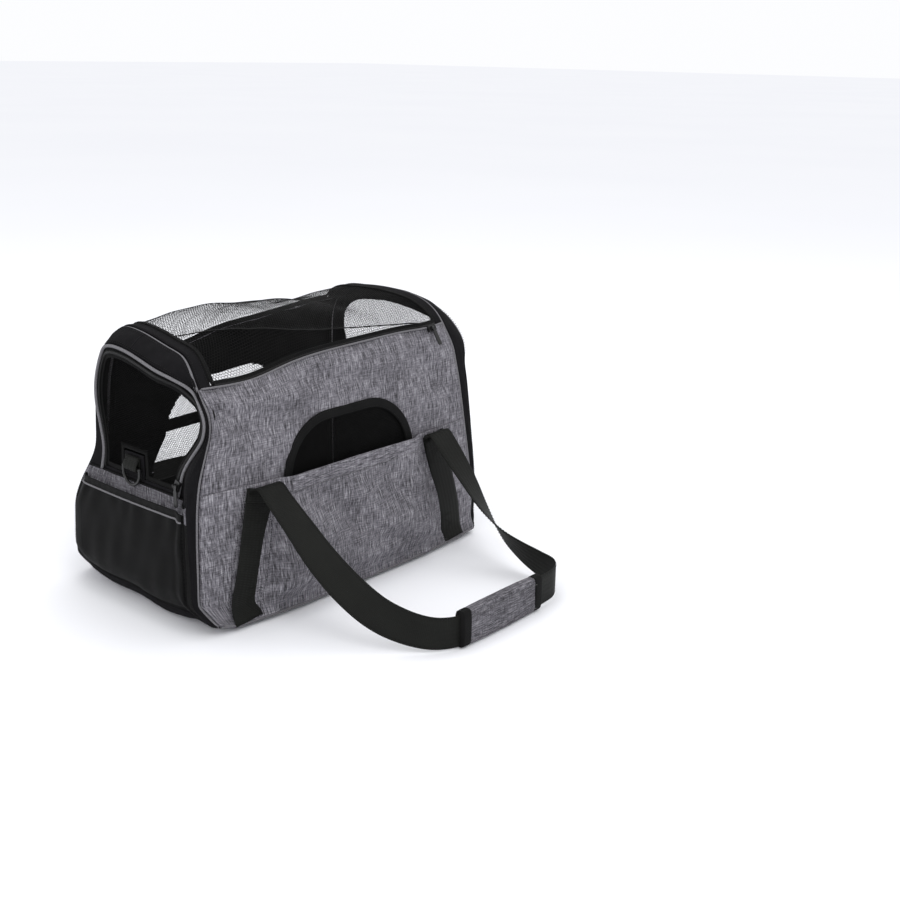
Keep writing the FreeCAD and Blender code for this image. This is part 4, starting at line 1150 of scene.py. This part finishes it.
def pocket(name, k, out):
    low_z, top_z, rim_z, half = 17.0, 135.0, 138.0, 113.6

    def place(y, z):
        o = pocket_out(y, z)
        gather = smooth(z, 95, 134) * np.sin(y / 4.6 + 1.5 * np.sin(y / 17)) * 0.5
        fold = 1.1 * ripple(y, z * 0.6, 41 + k, 34)
        return end_plane(k, o + (gather + fold) * smooth(o, 3, 9), y, z)

    hex_net(f"{name}_pocket_net", place, lambda y, z: (np.abs(y) < 113.2) & (z < top_z) & (z > low_z + 0.6),
            ((-115, 115), (low_z, top_z + 3)), DENSE_NET, pitch=2.4, open_=0.56, depth=0.0,
            nodes=[f"{name}_pocket"])
    y = np.linspace(-half, -100, 20)[:-1]
    y = np.concatenate([y, np.linspace(-100, 100, 140), -y[::-1]])
    z = np.full_like(y, rim_z)
    sag = -1.0 * np.cos(y / 114 * math.pi / 2) ** 2
    gather = 0.14 * np.sin(y / 2.3)
    band(f"{name}_pocket_rim", end_plane(k, pocket_out(y, z) + gather, y, z + sag), (0, 0, 1.0), 8.2, 2.0,
         ELASTIC, 0.3)
    tube(f"{name}_pocket_cord", end_plane(k, pocket_out(y, z) + 0.9, y, z - 4.9 + sag), 1.1, PIPING)
    # bound edge where the net is sewn to the end
    zz = np.linspace(134, 30, 40)
    a = np.linspace(0, math.pi / 2, 12)
    corner = pack(113.6 - 13 * (1 - np.cos(a)), 30 - 13 * np.sin(a))
    edge = np.concatenate([pack(np.full_like(zz, 113.6), zz)[:-1], corner])
    flat = np.linspace(corner[-1][0], -corner[-1][0], 70)[1:-1]
    edge = np.concatenate([edge, level(flat, low_z), (edge * [-1, 1])[::-1]])
    path = end_plane(k, 1.0, *edge.T)
    band(f"{name}_pocket_binding", path, np.cross(frames(path)[0], out), 4.6, 1.6, BINDING)


def ring_tab(name, k, out):
    """Webbing folded round the ring's bar and sewn to the patch."""
    a = np.radians(np.linspace(180, 360, 14))
    loop = pack(4.2 + 2.75 * np.cos(a), 168 + 2.75 * np.sin(a))
    front = [(6.4, 171.5), (4.2, 175.5), (3.0, 178), (2.9, 181)]
    xz = np.concatenate([[(1.35, 181), (1.35, 175)], loop, front])
    path = end_plane(k, xz[:, 0], np.zeros(len(xz)), xz[:, 1])
    band(f"{name}_ring_tab", path, (0, 1.0, 0), 25.0, 1.3, WEBBING)
    q = resample([(-11, 174.6), (11, 174.6), (11, 180), (-11, 180), (-11, 174.6)], 2.6)
    height = np.interp(q[:, 1], (174, 178, 181), (5.4, 3.8, 3.7))
    stitch(THREADS, end_plane(k, height, *q.T), out)


for end_name, end_sign in SIDES:
    end(end_name, end_sign)


# ---------------------------------------------------------------- carrying handles
# Centre line of the webbing, and how far it has turned on edge.
FRONT_HANDLE = [
    (-140, -136, 158, 0.00), (-139, -156, 149, 0.00), (-137, -186, 123, 0.08), (-134, -215, 96, 0.22),
    (-126, -246, 68, 0.42), (-113, -276, 44, 0.64), (-97, -303, 30, 0.84), (-79, -326, 23, 0.96),
    (-58, -339.5, 21, 1.00), (-38, -342, 21, 1.00), (20, -342, 21, 1.00), (80, -342, 21, 1.00),
    (104, -341, 21, 1.00), (128, -337, 21, 1.00), (147, -322, 21, 1.00), (156, -296, 22, 0.92),
    (156, -266, 31, 0.74), (152, -238, 48, 0.52), (148, -212, 75, 0.30), (145, -187, 108, 0.12),
    (142, -160, 141, 0.00), (140, -136, 158, 0.00),
]
BACK_HANDLE = [
    (-140, 136, 158, 0.00), (-138, 155, 147, 0.00), (-130, 178, 110, 0.12), (-116, 206, 70, 0.42),
    (-94, 240, 36, 0.78), (-60, 276, 22, 0.98), (-16, 304, 21, 1.00), (36, 317, 21, 1.00),
    (88, 313, 21, 1.00), (130, 293, 21, 1.00), (155, 260, 24, 0.86), (160, 226, 42, 0.55),
    (155, 194, 78, 0.28), (148, 168, 118, 0.08), (142, 150, 147, 0.00), (140, 136, 158, 0.00),
]


def catmull(p, per):
    p = np.concatenate([2 * p[:1] - p[1:2], p, 2 * p[-1:] - p[-2:-1]])
    out = []
    for i in range(1, len(p) - 2):
        t = np.linspace(0, 1, per, endpoint=False)[:, None]
        a, b, c, d = p[i - 1], p[i], p[i + 1], p[i + 2]
        out.append(0.5 * (2 * b + (c - a) * t + (2 * a - 5 * b + 4 * c - d) * t * t
                          + (3 * b - 3 * c + d - a) * t ** 3))
    return np.concatenate(out + [p[-2:-1]])


def handle(body, route, side):
    """Webbing from the top of one web round to the other; its ends are sewn over the webs."""
    name = f"{body}_strap"
    route = np.array(route, float)
    off = 6.2 if side == FRONT else 7.2
    on_web = lambda k, z, lift: [*(on_wall(side, [[web_line(k, z), z]], off)[0] + [0, side * lift, lift]), 0]
    tails = [[on_web(k, 140, 0.0), on_web(k, 149, 0.0), on_web(k, 156, 0.4)] for k in (-1, 1)]
    route = np.concatenate([tails[0], [[*route[0][:3] + [0, side * 7, 2.5], 0]], route[1:-1],
                            [[*route[-1][:3] + [0, side * 7, 2.5], 0]], tails[1][::-1]])
    path = catmull(route, 9)
    xyz, turn = path[:, :3], np.clip(path[:, 3], 0, 1)
    t, _, _ = frames(xyz)
    flat = np.array([1.0, 0, 0]) - t * t[:, :1]
    low = np.where(xyz[:, :1] < 20, 1.0, -1.0) * (np.array([0, 0, 1.0]) - t * t[:, 2:])
    unit = lambda q: q / np.maximum(np.linalg.norm(q, axis=1, keepdims=True), 1e-6)
    angle = (turn * math.pi / 2)[:, None]
    across = unit(flat) * np.cos(angle) + unit(low) * np.sin(angle)
    for i in range(1, len(across)):
        if across[i] @ across[i - 1] < 0:
            across[i] = -across[i]
    for _ in range(6):
        across[1:-1] = (across[:-2] + across[1:-1] * 2 + across[2:]) / 4
    s = lengths(xyz)
    ob = band(name, xyz, across, 38.0, 1.9, WEBBING, body=None)
    sub = ob.modifiers.new("smooth", "SUBSURF")
    sub.levels = sub.render_levels = 1
    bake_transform(ob)
    rows = Pile()
    _, a, n = frames(xyz, across=across)
    for d in (-16.5, 16.5):
        for face in (1, -1):
            keep = (s > 24) & (s < s[-1] - 24)
            stitch(rows, (xyz + a * d + n * face * 0.95)[keep], (n * face)[keep], step=4.2, length=2.8)
    rows.build(f"{name}_stitches", THREAD, body=body, slot="webbing")


handle("front_handle", FRONT_HANDLE, FRONT)
handle("back_handle", BACK_HANDLE, BACK)


def drum_faces(n, m):
    """Faces of n rings of m points, closed at both ends."""
    f = grid_faces(n, m).tolist()
    f += [[i * m + m - 1, (i + 1) * m + m - 1, (i + 1) * m, i * m] for i in range(n - 1)]
    f += [list(range(m)), [(n - 1) * m + j for j in range(m)][::-1]]
    return [q[::-1] for q in f]


def grip():
    """Padded wrap round the strap: a sleeve, crowned, pinched towards its bound ends."""
    x0, x1, y, low, high = -40.0, 80.0, -342.0, 0.8, 44.0
    mid_z, half_h, half_t = (low + high) / 2, (high - low) / 2, 7.2
    n, m = 60, 40
    x = np.linspace(x0, x1, n)
    a = np.linspace(0, TAU, m, endpoint=False)
    c, s = np.cos(a), np.sin(a)
    e = 0.42
    ring_y = np.sign(c) * np.abs(c) ** e * half_t
    ring_z = np.sign(s) * np.abs(s) ** e * half_h
    u = np.linspace(-1, 1, n)
    pinch = 1 - 0.16 * np.abs(u) ** 6
    yy = y + ring_y[None] * (pinch * (1 + 0.10 * (1 - u ** 2)))[:, None]
    zz = mid_z + ring_z[None] * (0.985 - 0.03 * np.abs(u) ** 8)[:, None]
    xx = x[:, None]
    dent = 0.9 * ripple(xx, zz + yy * 2, 61, 46) + 0.35 * ripple(xx, zz, 62, 18)
    front = smooth(np.abs(ring_y), 3, 7)[None]
    yy = yy + np.sign(ring_y)[None] * dent * 0.8 * front
    zz = np.maximum(zz, 0.5)
    pts = pack(xx, yy, zz)
    around = lengths(pack(ring_y, ring_z))
    uv = pack(around, xx)
    ob = build("grip_wrap", pts, drum_faces(n, m), GRIP_HEATHER, body="front_handle",
               nodes=["grip_front_leaf", "grip_back_leaf"], uv=uv)
    # bound ends
    g = Pile()
    for a0, a1 in ((x0 - 9.0, x0 + 3.0), (x1 - 3.0, x1 + 9.0)):
        xs = np.linspace(a0, a1, 8)
        bulge = 1 + 0.05 * np.sin(np.linspace(0, 1, 8) * math.pi)
        ry = np.sign(c) * np.abs(c) ** 0.5 * (half_t * 0.96)
        rz = np.sign(s) * np.abs(s) ** 0.5 * (half_h - 0.2)
        p = pack(xs[:, None], y + ry * bulge[:, None], mid_z + 0.2 + rz)
        p[..., 2] = np.maximum(p[..., 2], 0.5)
        t = pack(around, xs[:, None])
        g.add(p, drum_faces(8, m), t)
    g.build("grip_bindings", BINDING, body="front_handle")
    # closing edge of the wrap along its top, and its stitches
    xs = np.linspace(x0 + 3.5, x1 - 3.5, 60)
    seam = pack(xs, np.full_like(xs, y - 7.9), np.full_like(xs, high - 7.0))
    rows = Pile()
    stitch(rows, seam + [0, -0.2, 0], (0, -1, 0))
    stitch(rows, pack(xs, np.full_like(xs, y - 7.9), np.full_like(xs, low + 6.5)), (0, -1, 0))
    rows.build("grip_stitches", GREY_THREAD, body="front_handle")
    strip = Pile()
    path = pack(xs, np.full_like(xs, y), np.full_like(xs, 41.6))
    v, f, uv = sweep(path, band_outline(3.2, 1.4), False, np.tile([0.0, 0, 1.0], (len(xs), 1)))
    strip.add(v, f, uv)
    strip.build("grip_closure", BINDING, body="front_handle", nodes=["grip_hook_strip", "grip_loop_strip"])


grip()
THREADS.build("black_stitches", THREAD)
GREY_THREADS.build("grey_stitches", GREY_THREAD)


# ---------------------------------------------------------------- hard parts keep their CAD shape
def coat(node, material):
    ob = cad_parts[node]
    ob.data.materials.clear()
    ob.data.materials.append(material)
    return ob


coat("base_board", BOARD)
for hard in ("top", "left_door", "right_door"):
    for part in ("slider", "pull"):
        m = coat(f"{hard}_{part}", HARDWARE).modifiers.new("edge", "BEVEL")
        m.width, m.segments, m.limit_method, m.angle_limit = 0.3 * MM, 2, "ANGLE", math.radians(40)
for hard in ("left", "right"):
    for poly in coat(f"{hard}_d_ring", RING).data.polygons:
        poly.use_smooth = True


# ---------------------------------------------------------------- stage
def stage():
    me = bpy.data.meshes.new("floor")
    me.from_pydata([(-40, -40, 0), (40, -40, 0), (40, 40, 0), (-40, 40, 0)], [], [(0, 1, 2, 3)])
    floor = bpy.data.objects.new("floor", me)
    floor.location.z = -0.0004
    bpy.context.collection.objects.link(floor)
    m = Mat("floor", rough=0.9, specular=0.0)
    cloudy = m.noise(m.scaled(0.6, 0.6, 0.6, m.obj), detail=2.0)
    m.colour(m.ramp(cloudy, [(0.3, (0.92, 0.925, 0.955)), (0.7, (0.935, 0.94, 0.965))]))
    me.materials.append(m.m)
    world = bpy.data.worlds.new("studio")
    world.use_nodes = True
    world.node_tree.nodes["Background"].inputs[0].default_value = (0.98, 0.985, 1.0, 1.0)
    world.node_tree.nodes["Background"].inputs[1].default_value = 1.0
    bpy.context.scene.world = world
    for name, place, size, power in (
        ("key", (-0.7, -1.8, 2.3), 1.5, 16.0), ("side", (-2.2, -0.3, 1.4), 1.6, 6.0),
        ("top", (0.4, 0.4, 2.6), 2.0, 14.0),
    ):
        light = bpy.data.lights.new(name, "AREA")
        light.energy, light.size, light.shape = power, size, "DISK"
        ob = bpy.data.objects.new(name, light)
        ob.location = place
        ob.rotation_euler = (Vector((0, -0.05, 0.12)) - Vector(place)).to_track_quat("-Z", "Y").to_euler()
        bpy.context.collection.objects.link(ob)
    bpy.context.scene.view_settings.view_transform = "Standard"


def camera():
    azimuth, elevation, roll = (math.radians(v) for v in (-49.21, 17.77, 1.04))
    back = Vector((math.sin(azimuth) * math.cos(elevation), -math.cos(azimuth) * math.cos(elevation),
                   math.sin(elevation)))
    right = (-back).cross(Vector((0, 0, 1))).normalized()
    up = right.cross(-back)
    r = right * math.cos(roll) + up * math.sin(roll)
    u = up * math.cos(roll) - right * math.sin(roll)
    data = bpy.data.cameras.new("camera")
    data.lens, data.sensor_width, data.clip_end = 49.9, 36.0, 60.0
    ob = bpy.data.objects.new("camera", data)
    turned = Matrix((r, u, back)).transposed().to_4x4()
    ob.matrix_world = Matrix.Translation((-0.9858, -1.1318, 0.6186)) @ turned
    bpy.context.collection.objects.link(ob)
    bpy.context.scene.camera = ob


stage()
camera()
